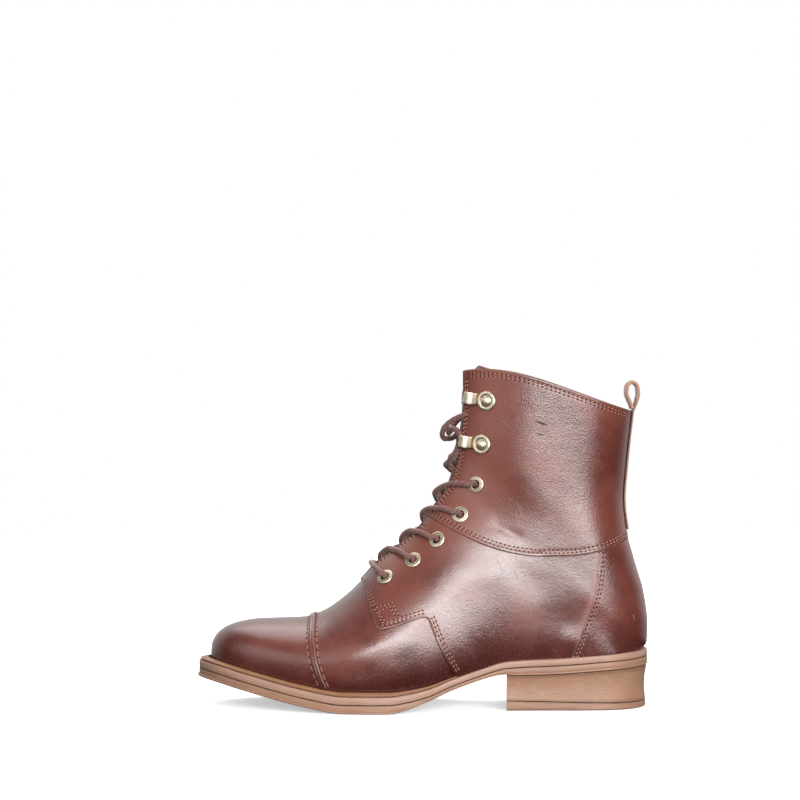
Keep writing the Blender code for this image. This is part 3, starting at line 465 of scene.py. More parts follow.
def crease_lift(x: Array, z: Array) -> Array:
    """How far the folds move the leather: each a bell curve across its line that fades at the line's ends.

    Args:
        x: places along the boot.
        z: their heights.

    Returns:
        The distance outwards.
    """
    moved = np.zeros(np.broadcast(x, z).shape)
    for crease in CREASES:
        start, end = np.array(crease.start), np.array(crease.end)
        run = end - start
        share = ((x - start[0]) * run[0] + (z - start[1]) * run[1]) / run.dot(run)
        near = np.clip(share, 0.0, 1.0)
        off = np.hypot(x - start[0] - near * run[0], z - start[1] - near * run[1])
        ends = fade(share, -0.25, 0.25) * (1 - fade(share, 0.75, 1.25))
        moved -= crease.deep * ends * np.exp(-((off / crease.wide) ** 2))
    return moved


class Fan:
    """The upper's outer face, as a function of u along the fan of sections and v around each section.

    v is 0 on the ridge, minus a half turn at the lateral base and plus a half turn at the medial base, and
    its size is the turn. A section's width follows the turn's sine down to its widest place, and below that
    an arc that closes to the sole line."""

    def __init__(self) -> None:
        """Reads the sections' table."""
        self.rows = np.arange(len(SECTIONS), dtype=float)
        self.table = {name: column(SECTIONS, name) for name in Section._fields if name != "name"}
        half = plan_at(self.table["base_x"])[1] + self.table["swell"]
        self.table["half"] = np.where(self.rows < HEEL, half, self.table["swell"])
        self.table["base_z"][HEEL] = sole_at("seat", SECTIONS[HEEL].base_x) + UPPER_FOOT

    def value(self, name: str, u: Array) -> Array:
        """One column of the sections' table at u."""
        return smooth(self.rows, self.table[name], u)

    def base(self, u: Array) -> tuple[Array, Array, Array, Array]:
        """x, y and z of the base line, and half the width of the open sole there.

        Args:
            u: place along the fan.

        Returns:
            x, y, z and half the width.
        """
        x = self.value("base_x", u)
        middle, half = plan_at(x)
        on_sole = np.asarray(u) <= HEEL
        z = np.where(on_sole, sole_at("seat", x) + UPPER_FOOT, self.value("base_z", u))
        return x, np.where(on_sole, middle, 0.0), z, np.where(on_sole, half, 0.0)

    def share(self, u: Array, turn: Array) -> Array:
        """How far down the section, from ridge to base, a turn has come.

        Args:
            u: place along the fan.
            turn: place around the section.

        Returns:
            0 on the ridge and 1 on the base.
        """
        wide, crown = self.value("wide", u), self.value("crown", u)
        upper = wide * (1 - np.cos(np.minimum(turn, HALF_TURN / 2)) ** crown)
        return upper + (1 - wide) * np.sin(np.maximum(turn - HALF_TURN / 2, 0.0))

    def turn(self, u: Array, share: Array) -> Array:
        """The turn that comes that far down the section.

        Args:
            u: place along the fan.
            share: 0 on the ridge and 1 on the base.

        Returns:
            The turn.
        """
        wide, crown = self.value("wide", u), self.value("crown", u)
        upper = np.arccos(np.clip(1 - share / wide, 0.0, 1.0) ** (1 / crown))
        return upper + np.arcsin(np.clip((share - wide) / (1 - wide), 0.0, 1.0))

    @staticmethod
    def evened(u: Array, function: Heights) -> Array:
        """A function of u; at the back of the heel, its mean with what it is on both sides of u.

        Args:
            u: place along the fan.
            function: of u.

        Returns:
            Its evened values.
        """
        reach = HEEL_BLEND * np.exp(-(((np.asarray(u) - HEEL) / HEEL_BLEND_WIDE) ** 2))
        if np.max(reach) < 1e-4:
            return function(u)
        return function(u) / 2 + (function(u - reach) + function(u + reach)) / 4

    def side_view(self, u: Array, share: Array) -> Array:
        """x and z of the point that far down section u, whose edge arches by its rise.

        Args:
            u: place along the fan.
            share: 0 on the ridge and 1 on the base.

        Returns:
            x and z.
        """
        arch = np.sin(HALF_TURN * np.clip(share, 0, 1) ** RISE_POWER) * np.sqrt(np.clip(1 - share, 0, 1))

        def across(at: Array) -> Array:
            """x and z at a place along the fan, from ridge to base.

            Args:
                at: the place.

            Returns:
                x and z.
            """
            base_x, _, base_z, _ = self.base(at)
            ridge_x, ridge_z = self.value("ridge_x", at), self.value("ridge_z", at)
            z = ridge_z + (base_z - ridge_z) * share + self.value("rise", at) * arch
            return np.stack([ridge_x + (base_x - ridge_x) * share, z])

        return self.evened(u, across)

    def outline(self, u: Array, turn: Array) -> Array:
        """x and z of a turn of section u."""
        return self.side_view(u, self.share(u, turn))

    def face(self, u: Array, v: Array) -> Array:
        """Points of the outer face.

        Args:
            u: place along the fan.
            v: place around the section, by side.

        Returns:
            The points.
        """
        turn, side = np.abs(v), np.where(np.asarray(v) < 0, -1.0, 1.0)
        share = self.share(u, turn)
        down = np.sin(np.maximum(turn - HALF_TURN / 2, 0.0)) ** LOWER_ARC_POWER

        def across_y(at: Array) -> Array:
            """y on the section at a place: from ridge to base, and out by the width.

            Args:
                at: place along the fan.

            Returns:
                y.
            """
            _, base_y, _, end = self.base(at)
            half, ridge_y = self.value("half", at), self.value("ridge_y", at)
            closing = 1 - np.minimum(end / half, 1.0) ** 2
            lower = np.sqrt(np.maximum(1 - closing * down, 0.0))
            width = half * np.where(turn < HALF_TURN / 2, np.sin(turn), lower)
            return ridge_y + (base_y - ridge_y) * share + side * width

        x, z = self.side_view(u, share)
        return np.stack([x, self.evened(u, across_y), z], axis=-1)

    def steps(self, u: Array, v: Array) -> Pair:
        """How the face runs for one step of u and one of v.

        Args:
            u: place along the fan.
            v: place around the section, by side.

        Returns:
            The two directions, each for a step of one.
        """
        nudge = 1e-3
        u = np.clip(u, 0.05, COLLAR - nudge)
        after, before = np.minimum(v + nudge, HALF_TURN), np.maximum(v - nudge, -HALF_TURN)
        by_u = (self.face(u + nudge, v) - self.face(u - nudge, v)) / (2 * nudge)
        return by_u, (self.face(u, after) - self.face(u, before)) / (after - before)[..., None]

    def normal(self, u: Array, v: Array) -> Array:
        """Unit vectors out of the face."""
        return unit(np.cross(*self.steps(u, v)))

    def point(self, u: Array, v: Array, lift: Array) -> Array:
        """Points lifted off the outer face with its folds. Above the collar it goes on straight up.

        Args:
            u: place along the fan.
            v: place around the section, by side.
            lift: distance off the face.

        Returns:
            The points.
        """
        u, v, lift = np.broadcast_arrays(np.asarray(u, float), np.asarray(v, float), np.asarray(lift, float))
        face = self.face(u, v)
        folds = crease_lift(face[..., 0], face[..., 2])
        points = face + self.normal(u, v) * (lift + folds)[..., None]
        points[..., 2] += STEP_ABOVE_COLLAR * np.maximum(u - COLLAR, 0.0)
        return points

    def throat_turn(self, u: Array) -> Array:
        """The turn at the facing's edge. The throat opens as a round notch above its foot."""
        opening = np.sqrt(np.clip((np.asarray(u) - THROAT) / THROAT_ROUND, 0.0, 1.0))
        return np.arcsin(self.value("throat", u) * opening / self.value("half", u))

    def locate(self, places: Array) -> Pair:
        """u and turn at places in the side view, by Newton steps from the nearest point of a coarse grid.

        Args:
            places: rows of x and z.

        Returns:
            u and turn of each place.
        """
        places = np.asarray(places, float)
        rows, shares = np.arange(1.0, COLLAR, 0.2), np.linspace(0.0, 1.0, 61)
        grid_u, grid_share = (part.ravel() for part in np.meshgrid(rows, shares, indexing="ij"))
        grid_x, grid_z = self.side_view(grid_u, grid_share)
        best = np.argmin((grid_x - places[:, :1]) ** 2 + (grid_z - places[:, 1:]) ** 2, axis=1)
        u, share, nudge = grid_u[best], grid_share[best], 1e-4
        for _ in range(14):
            here = self.side_view(u, share)
            by_u = (self.side_view(u + nudge, share) - here) / nudge
            by_share = (self.side_view(u, share + nudge) - here) / nudge
            miss = places.T - here
            area = by_u[0] * by_share[1] - by_u[1] * by_share[0]
            u = u + (miss[0] * by_share[1] - miss[1] * by_share[0]) / area
            share = share + (by_u[0] * miss[1] - by_u[1] * miss[0]) / area
            u, share = np.clip(u, 0.1, COLLAR - 0.01), np.clip(share, 0.0, 0.9995)
        return u, self.turn(u, share)

    def locate_one(self, place: Place) -> tuple[float, float]:
        """u and turn at one place in the side view."""
        u, turn = self.locate(np.array([place]))
        return float(u[0]), float(turn[0])


FAN = Fan()


@dataclass
class Trail:
    """A line on the upper, as the u and the turn of its points; it is the same on both sides."""

    u: Array
    turn: Array

    def on(self, side: Side, lift: float) -> Array:
        """Its points on one side, lifted off the upper."""
        return FAN.point(self.u, side * self.turn, lift)

    def then(self, other: "Trail") -> "Trail":
        """This trail and another after it."""
        return Trail(np.concatenate([self.u, other.u]), np.concatenate([self.turn, other.turn]))

    def back(self) -> "Trail":
        """The trail the other way round."""
        return Trail(self.u[::-1], self.turn[::-1])

    def where(self, chosen: Array) -> "Trail":
        """The trail's chosen points."""
        return Trail(self.u[chosen], self.turn[chosen])

    def spaced(self, count: int) -> "Trail":
        """The trail with evenly spaced points.

        Args:
            count: how many points.

        Returns:
            The new trail.
        """
        along = lengths(self.on(Side.MEDIAL, 0.0))
        at = np.linspace(0.0, along[-1], count)
        return Trail(np.interp(at, along, self.u), np.interp(at, along, self.turn))

    def shifted(self, distance: float) -> "Trail":
        """The trail moved along the face, square to itself: to its right, seen from the medial side.

        Args:
            distance: how far; a negative distance moves it to its left.

        Returns:
            The new trail, reached in small steps along the face's own directions.
        """
        u, turn, stages = self.u.copy(), self.turn.copy(), 4
        for _ in range(stages):
            by_u, by_v = FAN.steps(u, turn)
            along = np.gradient(FAN.face(u, turn), axis=0)
            move = unit(np.cross(unit(np.cross(by_u, by_v)), along)) * distance / stages
            uu, vv, uv = (by_u * by_u).sum(-1), (by_v * by_v).sum(-1), (by_u * by_v).sum(-1)
            mu, mv = (by_u * move).sum(-1), (by_v * move).sum(-1)
            area = uu * vv - uv * uv
            u = np.clip(u + (mu * vv - mv * uv) / area, 0.1, COLLAR)
            turn = np.clip(turn + (mv * uu - mu * uv) / area, 0.0, HALF_TURN)
        return Trail(u, turn)


class SeamLines:
    """The edges of the leather panels, as trails on the upper."""

    @staticmethod
    def shaft_seam_z(x: Array) -> Array:
        """Height of the shaft's lower edge."""
        return smooth(column(SHAFT_SEAM, "x"), column(SHAFT_SEAM, "z"), x)

    @staticmethod
    def counter_seam_x(z: Array) -> Array:
        """The counter's front edge at a height."""
        return smooth(column(COUNTER_SEAM, "z"), column(COUNTER_SEAM, "x"), z)

    @staticmethod
    def foot_z(x: Array) -> Array:
        """The lower edge of the panels, clear of welt and midsole."""
        return sole_at("seat", x) + sole_at("rise", x) + PANEL_FOOT

    @staticmethod
    def facing(first_u: float, last_u: float, count: int) -> Trail:
        """The edge of the throat, from its foot upwards."""
        u = np.linspace(first_u, last_u, count)
        return Trail(u, np.maximum(FAN.throat_turn(u), RIDGE_TURN))

    @classmethod
    def shaft_edge(cls, shift: float, shares: Array) -> Trail:
        """The seam under the shaft, at shares of the way round from the facing to the back.

        Args:
            shift: how far above the seam's middle.
            shares: 0 at the facing and 1 at the back.

        Returns:
            The trail, found for each share as the u where the face crosses the seam.
        """
        def turn_at(u: Array) -> Array:
            """The turn of each share at u."""
            throat = FAN.throat_turn(u)
            return throat + shares * (HALF_TURN - throat)

        def above(u: Array) -> Array:
            """How far the face is above the seam."""
            x, z = FAN.outline(u, turn_at(u))
            return z - cls.shaft_seam_z(x) - shift

        u = crossing(above, 11.0, COLLAR, len(shares))
        return Trail(u, turn_at(u))

    @classmethod
    def foot(cls, first_u: float, last_u: float, count: int) -> Trail:
        """The panels' lower edge, from front to back.

        Args:
            first_u: where it starts.
            last_u: where it ends.
            count: how many points.

        Returns:
            The trail.
        """
        u = np.linspace(first_u, last_u, count)

        def below(turn: Array) -> Array:
            """How far the face is below the edge."""
            x, z = FAN.outline(u, turn)
            return cls.foot_z(x) - z

        return Trail(u, crossing(below, HALF_TURN / 2, HALF_TURN, count))

    @classmethod
    def counter_edge(cls, shift: float, count: int) -> Trail:
        """The counter's front edge from its foot up to the shaft.

        Args:
            shift: how far behind the seam's middle.
            count: how many points.

        Returns:
            The trail.
        """
        foot = float(cls.foot_z(cls.counter_seam_x(cls.foot_z(COUNTER_FOOT_X))))
        z = np.linspace(foot, float(cls.shaft_seam_z(COUNTER_TOP_X)) - SEAM_GAP / 2, count)
        return Trail(*FAN.locate(np.column_stack([cls.counter_seam_x(z) + shift, z])))

    @staticmethod
    def quarter_front(count: int) -> Trail:
        """The quarter's front edge from the throat's foot down to the sole, with its corners rounded.

        Args:
            count: how many points.

        Returns:
            The trail.
        """
        line = curve_through(QUARTER_FRONT, 160, straight=True)
        for _ in range(4):
            line[1:-1] = (line[:-2] + 2 * line[1:-1] + line[2:]) / 4
        u, turn = FAN.locate(line)
        edge = Trail(np.append(QUARTER_START_U, u), np.append(RIDGE_TURN, turn))
        return edge.spaced(count)

    @staticmethod
    def toe_strip(offset: float, turns: Array) -> Trail:
        """The toe cap's seam, moved back by an offset, at turns from the ridge down to the welt.

        Args:
            offset: how far back.
            turns: its points' turns.

        Returns:
            The trail.
        """
        strip = np.array(TOE_STRIP)

        def past(u: Array) -> Array:
            """How far the face is behind the seam."""
            x, z = FAN.outline(u, turns)
            return x - smooth(strip[:, 1], strip[:, 0], z) - offset

        return Trail(crossing(past, 4.0, 11.0, len(turns)), turns)


def quads_of(rows: int, columns: int, closed: bool) -> Array:
    """The cells of a grid of points, each as the numbers of its corners.

    Args:
        rows: how many rows of points.
        columns: how many columns.
        closed: whether the last column joins the first.

    Returns:
        Rows by columns by four.
    """
    number = np.arange(rows * columns).reshape(rows, columns)
    number = np.hstack([number, number[:, :1]]) if closed else number
    return np.stack([number[:-1, :-1], number[1:, :-1], number[1:, 1:], number[:-1, 1:]], axis=-1)


def around(faces: list[Array]) -> Array:
    """Rows that run over a plate's upper face and back under its lower face."""
    return np.concatenate([faces[0], faces[1][:, ::-1]], axis=1)


@dataclass
class Grids:
    """Grids of points in millimetres, gathered into one mesh. Marks are numbers that a finish reads."""

    points: list[Array] = field(default_factory=list)
    quads: list[Array] = field(default_factory=list)
    charts: list[Array] = field(default_factory=list)
    finishes: list[Array] = field(default_factory=list)
    marks: dict[str, list[Array]] = field(default_factory=dict)
    count: int = 0

    def add(self, points: Array, *, closed: bool = False, keep: Array | None = None,
            chart: Iterable[Array] = (0.0, 0.0), finish: int = 0, **marks: Array) -> None:
        """Adds a grid.

        Args:
            points: rows by columns by three.
            closed: whether the last column joins the first.
            keep: which cells of the grid have a face; all if it is left out.
            chart: how far along and across each point is, for patterns that follow the surface.
            finish: the number of the grid's finish.
            marks: named numbers for each point.
        """
        rows, columns = points.shape[:2]
        cells = quads_of(rows, columns, closed)
        quads = cells.reshape(-1, 4) if keep is None else cells[keep]
        self.points.append(points.reshape(-1, 3))
        self.quads.append(quads + self.count)
        self.finishes.append(np.full(len(quads), finish))
        placed = [np.broadcast_to(numbers, (rows, columns)).ravel() for numbers in chart]
        self.charts.append(np.column_stack(placed) * MM)
        for name, values in marks.items():
            self.marks.setdefault(name, []).append(np.broadcast_to(values, (rows, columns)).ravel())
        self.count += rows * columns

    def add_plate(self, faces: list[Array], ends: dict[str, float], **marks: Array) -> None:
        """Adds a thin closed plate.

        Args:
            faces: the points of its upper and of its lower face.
            ends: named numbers for its two ends.
            marks: named numbers for each point around it.
        """
        upper, lower = faces
        self.add(around(faces), closed=True, **marks)
        for end in (0, -1):
            self.add(np.stack([upper[end], lower[end]]), **ends)

    def copies(self, shape: Pair, frames: Array, middles: Array, finish: int = 0) -> None:
        """Adds one small shape many times.

        Args:
            shape: its points, and its quads as numbers of points.
            frames: for each copy, the three directions of the shape's axes.
            middles: for each copy, its place.
            finish: the number of the copies' finish.
        """
        points, quads = shape
        placed = np.einsum("pk,nkx->npx", points, frames) + middles[:, None]
        first = self.count + len(points) * np.arange(len(middles))
        self.points.append(placed.reshape(-1, 3))
        self.quads.append((quads[None] + first[:, None, None]).reshape(-1, 4))
        self.finishes.append(np.full(len(middles) * len(quads), finish))
        self.charts.append(np.zeros((len(middles) * len(points), 2)))
        self.count += len(middles) * len(points)

    def mesh(self, name: str, outward: Array | None = None) -> Mesh:
        """The grids as one mesh in metres, with points that coincide merged and faces outwards.

        Args:
            name: the mesh's name.
            outward: for an open sheet, a rough direction out of each point; a closed shape needs none.

        Returns:
            The mesh.
        """
        points, quads = np.vstack(self.points), np.vstack(self.quads)
        if outward is not None:
            corner = points[quads]
            facing = np.cross(corner[:, 2] - corner[:, 0], corner[:, 3] - corner[:, 1])
            inward = (facing * outward.reshape(-1, 3)[quads[:, 0]]).sum(axis=1) < 0
            quads[inward] = quads[inward, ::-1]
        mesh = bpy.data.meshes.new(name)
        mesh.vertices.add(len(points))
        mesh.vertices.foreach_set("co", (points * MM).ravel())
        mesh.loops.add(quads.size)
        mesh.loops.foreach_set("vertex_index", quads.ravel())
        mesh.polygons.add(len(quads))
        mesh.polygons.foreach_set("loop_start", np.arange(0, quads.size, 4))
        mesh.polygons.foreach_set("material_index", np.concatenate(self.finishes))
        chart = mesh.uv_layers.new(name="chart")
        chart.data.foreach_set("uv", np.vstack(self.charts)[quads.ravel()].ravel())
        for mark, values in self.marks.items():
            attribute = mesh.attributes.new(mark, "FLOAT", "POINT")
            attribute.data.foreach_set("value", np.concatenate(values))
        mesh.update(calc_edges=True)
        shape = bmesh.new()
        shape.from_mesh(mesh)
        bmesh.ops.remove_doubles(shape, verts=shape.verts, dist=2e-6)
        bmesh.ops.dissolve_degenerate(shape, edges=shape.edges, dist=1e-7)
        if outward is None:
            bmesh.ops.recalc_face_normals(shape, faces=shape.faces)
        shape.to_mesh(mesh)
        shape.free()
        return mesh


def new_object(name: str, data: bpy.types.ID) -> Object:
    """A new object in the scene.

    Args:
        name: its name.
        data: its mesh, light or camera.

    Returns:
        The object.
    """
    obj = bpy.data.objects.new(name, data)
    bpy.context.scene.collection.objects.link(obj)
    return obj


def place_piece(name: str, mesh: Mesh, finishes: list["Finish"], nodes: list[str],
                sharp: float = 42.0) -> Object:
    """Makes a mesh a piece of the boot.

    Args:
        name: the piece's name.
        mesh: its mesh, in place.
        finishes: its finishes, in the order of its faces' numbers; none for a wall, which has them already.
        nodes: the solids that it stands for.
        sharp: edges that turn more than this many degrees stay sharp.

    Returns:
        The piece.
    """
    obj = new_object(name, mesh)
    for finish in finishes:
        mesh.materials.append(finish.material())
    mesh.shade_smooth()
    mesh.set_sharp_from_angle(angle=math.radians(sharp))
    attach(obj, "root")
    if nodes:
        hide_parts(*nodes)
    LOG.info("%s: %d faces", name, len(mesh.polygons))
    return obj


def thick_mesh(mesh: Mesh, thick: float, outside: "Finish") -> Mesh:
    """A wall made from its outer sheet, with bare leather inside and matt cut edges.

    Args:
        mesh: the sheet, with its faces outwards.
        thick: the wall's thickness.
        outside: the finish of the outer face.

    Returns:
        The wall's mesh, with its finishes.
    """
    for finish in (outside, LINING, CUT_EDGE):
        mesh.materials.append(finish.material())
    sheet = new_object(mesh.name + "_sheet", mesh)
    wall = sheet.modifiers.new("wall", "SOLIDIFY")
    wall.thickness = thick * MM
    wall.offset = -1.0
    wall.use_quality_normals = True
    wall.material_offset = 1
    wall.material_offset_rim = 2
    made = bpy.data.meshes.new_from_object(sheet.evaluated_get(bpy.context.evaluated_depsgraph_get()))
    bpy.data.objects.remove(sheet, do_unlink=True)
    made.name = mesh.name
    return made


class Nodes:
    """A material's node tree, with short ways to add what the finishes use. Sizes are in millimetres."""

    def __init__(self, home: str | bpy.types.NodeTree) -> None:
        """Starts a material of that name with one Principled shader, or works on a given tree.

        Args:
            home: a new material's name, or a tree.
        """
        self.material = None
        self.tree = home
        if isinstance(home, str):
            self.material = bpy.data.materials.new(home)
            self.material.use_nodes = True
            self.tree = self.material.node_tree
        self.shader = self.tree.nodes.get("Principled BSDF")

    def add(self, kind: str, inputs: dict, output: int | str | None = 0, **settings: object) -> Socket | None:
        """Adds a node.

        Args:
            kind: Blender's name of the node.
            inputs: values or sockets for its inputs, by name or number.
            output: which output is wanted, if any.
            settings: the node's own settings.

        Returns:
            The output's socket.
        """
        node = self.tree.nodes.new(kind)
        for name, value in settings.items():
            setattr(node, name, value)
        for name, value in inputs.items():
            self.put(node.inputs[name], value)
        return None if output is None else node.outputs[output]

    def put(self, socket: Socket, value: object) -> None:
        """Links or sets an input; a colour is set from three numbers.

        Args:
            socket: the input.
            value: another node's output, or a value.
        """
        if isinstance(value, Socket):
            self.tree.links.new(value, socket)
        else:
            socket.default_value = (*value, 1.0) if socket.type == "RGBA" else value

    def place(self) -> Socket:
        """The place on the boot, in metres."""
        return self.add("ShaderNodeTexCoord", {}, "Object")

    def chart(self, along: float, across: float) -> Socket:
        """The piece's own chart, stretched along and across it."""
        uv = self.add("ShaderNodeTexCoord", {}, "UV")
        return self.add("ShaderNodeMapping", {"Vector": uv, "Scale": (along, across, 1.0)})

    def mark(self, name: str, share: float = 1.0) -> Socket:
        """A number that the mesh holds at each point, or a share of it."""
        value = self.add("ShaderNodeAttribute", {}, "Fac", attribute_name=name)
        return value if share == 1.0 else self.maths("MULTIPLY", value, share)

    def noise(self, at: Socket, size: float, detail: float = 3.0, rough: float = 0.55) -> Socket:
        """Cloudy noise with blots of about that size, from 0 to 1."""
        inputs = {"Vector": at, "Scale": 1 / (size * MM), "Detail": detail, "Roughness": rough}
        return self.add("ShaderNodeTexNoise", inputs)

    def cells(self, at: Socket, size: float) -> Socket:
        """Distance to the nearest of scattered points about that far apart."""
        return self.add("ShaderNodeTexVoronoi", {"Vector": at, "Scale": 1 / (size * MM)})

    def ramp(self, value: Socket, low: float, high: float, start: float = 0.0, end: float = 1.0) -> Socket:
        """A value turned smoothly from start, at low, into end, at high."""
        inputs = {"Value": value, "From Min": low, "From Max": high, "To Min": start, "To Max": end}
        return self.add("ShaderNodeMapRange", inputs, interpolation_type="SMOOTHSTEP")

    def mix(self, share: Socket, first: object, second: object) -> Socket:
        """A colour between two, by a share."""
        return self.add("ShaderNodeMix", {0: share, 6: first, 7: second}, 2, data_type="RGBA")

    def maths(self, operation: str, first: object, second: object) -> Socket:
        """Two numbers put together."""
        return self.add("ShaderNodeMath", {0: first, 1: second}, operation=operation)

    def bump(self, height: Socket, deep: float, strength: float, under: Socket | None = None) -> Socket:
        """A bump of that depth, on top of another."""
        below = {"Height": height} if under is None else {"Height": height, "Normal": under}
        return self.add("ShaderNodeBump", {"Distance": deep * MM, "Strength": strength, **below})

    def finish(self, **inputs: object) -> Material:
        """Sets the shader's inputs, whose names have underscores for spaces, and gives the material.

        Args:
            inputs: values or sockets by name.

        Returns:
            The material.
        """
        for name, value in inputs.items():
            self.put(self.shader.inputs[name.replace("_", " ")], value)
        return self.material


Colour = tuple[float, float, float]


@dataclass(frozen=True)
class Finish:
    """The look of one material. Its material is made once."""

    name: str

    def material(self) -> Material:
        """The finish's material."""
        return bpy.data.materials.get(self.name) or self.make()

    def make(self) -> Material:
        """Builds the material's nodes; each kind of finish has its own."""
        raise NotImplementedError


@dataclass(frozen=True)
class PolishedLeather(Finish):
    """Waxed leather: mottled, with painted shade low on the sides, warm by the facings, with a fine pebbled
    grain.
    """

    # deep is the colour of the painted shade low on the sides
    deep: Colour = (0.026, 0.0050, 0.0045)
    dark: Colour = (0.070, 0.0165, 0.0120)
    body: Colour = (0.115, 0.0290, 0.0200)
    warm: Colour = (0.150, 0.0420, 0.0270)
    cut: Colour = (0.150, 0.070, 0.050)
    rough: float = 0.28
    low_rough: float = -0.1
    grain: float = 0.9
    shine: float = 0.7

    def make(self) -> Material:
        """Mottling and marks give the colour, with the low mark as painted shade; grain, pores and waves give
        bump and gloss.

        Returns:
            The material.
        """
        nodes = Nodes(self.name)
        at = nodes.place()
        clouds = nodes.noise(at, 34.0, 4.0)
        specks = nodes.noise(at, 1.5, 3.0, 0.65)
        pebbles = nodes.cells(at, self.grain)
        pores = nodes.noise(at, 0.5, 2.0)
        waves = nodes.noise(at, 11.0, 2.0)
        colour = nodes.mix(nodes.ramp(clouds, 0.36, 0.66), self.dark, self.body)
        colour = nodes.mix(nodes.mark("warm", 0.85), colour, self.warm)
        # Painted shade: the low mark turns the colour towards deep along the sole
        colour = nodes.mix(nodes.mark("low", 0.9), colour, self.deep)
        colour = nodes.mix(nodes.ramp(specks, 0.5, 0.8, 0.0, 0.35), colour, self.warm)
        colour = nodes.mix(nodes.ramp(nodes.mark("edge"), 0.05, 0.5, 0.8, 0.0), colour, self.cut)
        matt = nodes.mark("warm", 0.08)
        matt = nodes.maths("ADD", matt, nodes.mark("low", self.low_rough))
        gloss = nodes.maths("ADD", nodes.ramp(clouds, 0.3, 0.7, self.rough - 0.03, self.rough + 0.05), matt)
        gloss = nodes.maths("ADD", gloss, nodes.ramp(specks, 0.4, 0.7, 0.0, 0.06))
        gloss = nodes.maths("ADD", gloss, nodes.ramp(nodes.mark("edge"), 0.3, 1.2, 0.4, 0.0))
        bump = nodes.bump(waves, 0.5, 0.3)
        bump = nodes.bump(specks, 0.09, 0.25, bump)
        bump = nodes.bump(pebbles, 0.10, 0.5, bump)
        bump = nodes.bump(pores, 0.06, 0.5, bump)
        return nodes.finish(Base_Color=colour, Roughness=gloss, Normal=bump, Specular_IOR_Level=self.shine)


@dataclass(frozen=True)
class BareLeather(Finish):
    """Undyed or unpolished leather: lining, insole, and the tread's underside."""

    pale: Colour
    dark: Colour
    rough: float = 0.8
    shine: float = 0.3

    def make(self) -> Material:
        """Two scales of noise give colour and nap.

        Returns:
            The material.
        """
        nodes = Nodes(self.name)
        at = nodes.place()
        blots = nodes.noise(at, 16.0, 4.0)
        nap = nodes.noise(at, 0.7, 3.0)
        colour = nodes.mix(nodes.ramp(blots, 0.3, 0.7), self.dark, self.pale)
        colour = nodes.mix(nodes.ramp(nap, 0.35, 0.7, 0.0, 0.35), colour, self.dark)
        bump = nodes.bump(nap, 0.18, 0.6)
        return nodes.finish(Base_Color=colour, Roughness=self.rough, Normal=bump,
                            Specular_IOR_Level=self.shine)


@dataclass(frozen=True)
class SoleEdge(Finish):
    """The trimmed edge of a sole layer: fine strata along it, darker near its corners."""

    pale: Colour = (0.315, 0.184, 0.134)
    body: Colour = (0.235, 0.130, 0.092)
    dark: Colour = (0.085, 0.038, 0.024)
    strata: float = 0.55
    rough: float = 0.5

    def make(self) -> Material:
        """Noise stretched along the layer's chart gives strata; the mark of its corners darkens them.

        Returns:
            The material.
        """
        nodes = Nodes(self.name)
        lines = nodes.noise(nodes.chart(0.035, 1.0), self.strata, 4.0, 0.7)
        broad = nodes.noise(nodes.chart(0.25, 0.6), 7.0, 3.0)
        specks = nodes.noise(nodes.place(), 0.5, 2.0)
        colour = nodes.mix(nodes.ramp(lines, 0.34, 0.66), self.body, self.pale)
        colour = nodes.mix(nodes.ramp(lines, 0.24, 0.38, 0.55, 0.0), colour, self.dark)
        colour = nodes.mix(nodes.ramp(broad, 0.35, 0.75, 0.0, 0.45), colour, self.body)
        colour = nodes.mix(nodes.mark("corner", 0.6), colour, self.dark)
        gloss = nodes.ramp(specks, 0.3, 0.7, self.rough - 0.06, self.rough + 0.1)
        bump = nodes.bump(lines, 0.22, 0.5)
        bump = nodes.bump(specks, 0.06, 0.5, bump)
        return nodes.finish(Base_Color=colour, Roughness=gloss, Normal=bump, Specular_IOR_Level=0.4)


@dataclass(frozen=True)
class AntiqueBrass(Finish):
    """Aged brass, bright where it is rubbed and brown in its hollows, with painted shade on the hooks' necks
    and tips.
    """

    bright: Colour = (0.840, 0.735, 0.570)
    brown: Colour = (0.190, 0.140, 0.085)

    def make(self) -> Material:
        """Blots and the mark of the hollows give tarnish, and on the hooks painted shade as well.

        Returns:
            The material.
        """
        nodes = Nodes(self.name)
        at = nodes.place()
        blots = nodes.noise(at, 2.2, 4.0, 0.65)
        fine = nodes.noise(at, 0.25, 2.0)
        colour = nodes.mix(nodes.ramp(blots, 0.42, 0.75, 0.0, 0.45), self.bright, self.brown)
        colour = nodes.mix(nodes.mark("hollow"), colour, self.brown)
        gloss = nodes.ramp(blots, 0.3, 0.7, 0.38, 0.54)
        bump = nodes.bump(fine, 0.03, 0.4)
        return nodes.finish(Base_Color=colour, Roughness=gloss, Normal=bump, Metallic=1.0)


@dataclass(frozen=True)
class LaceYarn(Finish):
    """Twisted lace of fine cotton yarn with a fuzzy nap."""

    pale: Colour = (0.200, 0.094, 0.082)
    dark: Colour = (0.065, 0.026, 0.022)

    def make(self) -> Material:
        """Threads slant across the cord's chart, and the mark of the grooves darkens the twist as painted
        shade.

        Returns:
            The material.
        """
        nodes = Nodes(self.name)
        threads = nodes.noise(nodes.chart(1.0, 0.3), 0.3, 2.0)
        fuzz = nodes.noise(nodes.place(), 0.22, 3.0)
        colour = nodes.mix(nodes.ramp(threads, 0.3, 0.7), self.dark, self.pale)
        # Painted shade in the grooves between the twisted strands
        colour = nodes.mix(nodes.mark("hollow", 0.7), colour, self.dark)
        bump = nodes.bump(threads, 0.16, 0.7)
        bump = nodes.bump(fuzz, 0.12, 0.6, bump)
        return nodes.finish(Base_Color=colour, Roughness=0.85, Normal=bump, Sheen_Weight=0.5,
                            Sheen_Roughness=0.4, Sheen_Tint=(0.75, 0.55, 0.5))


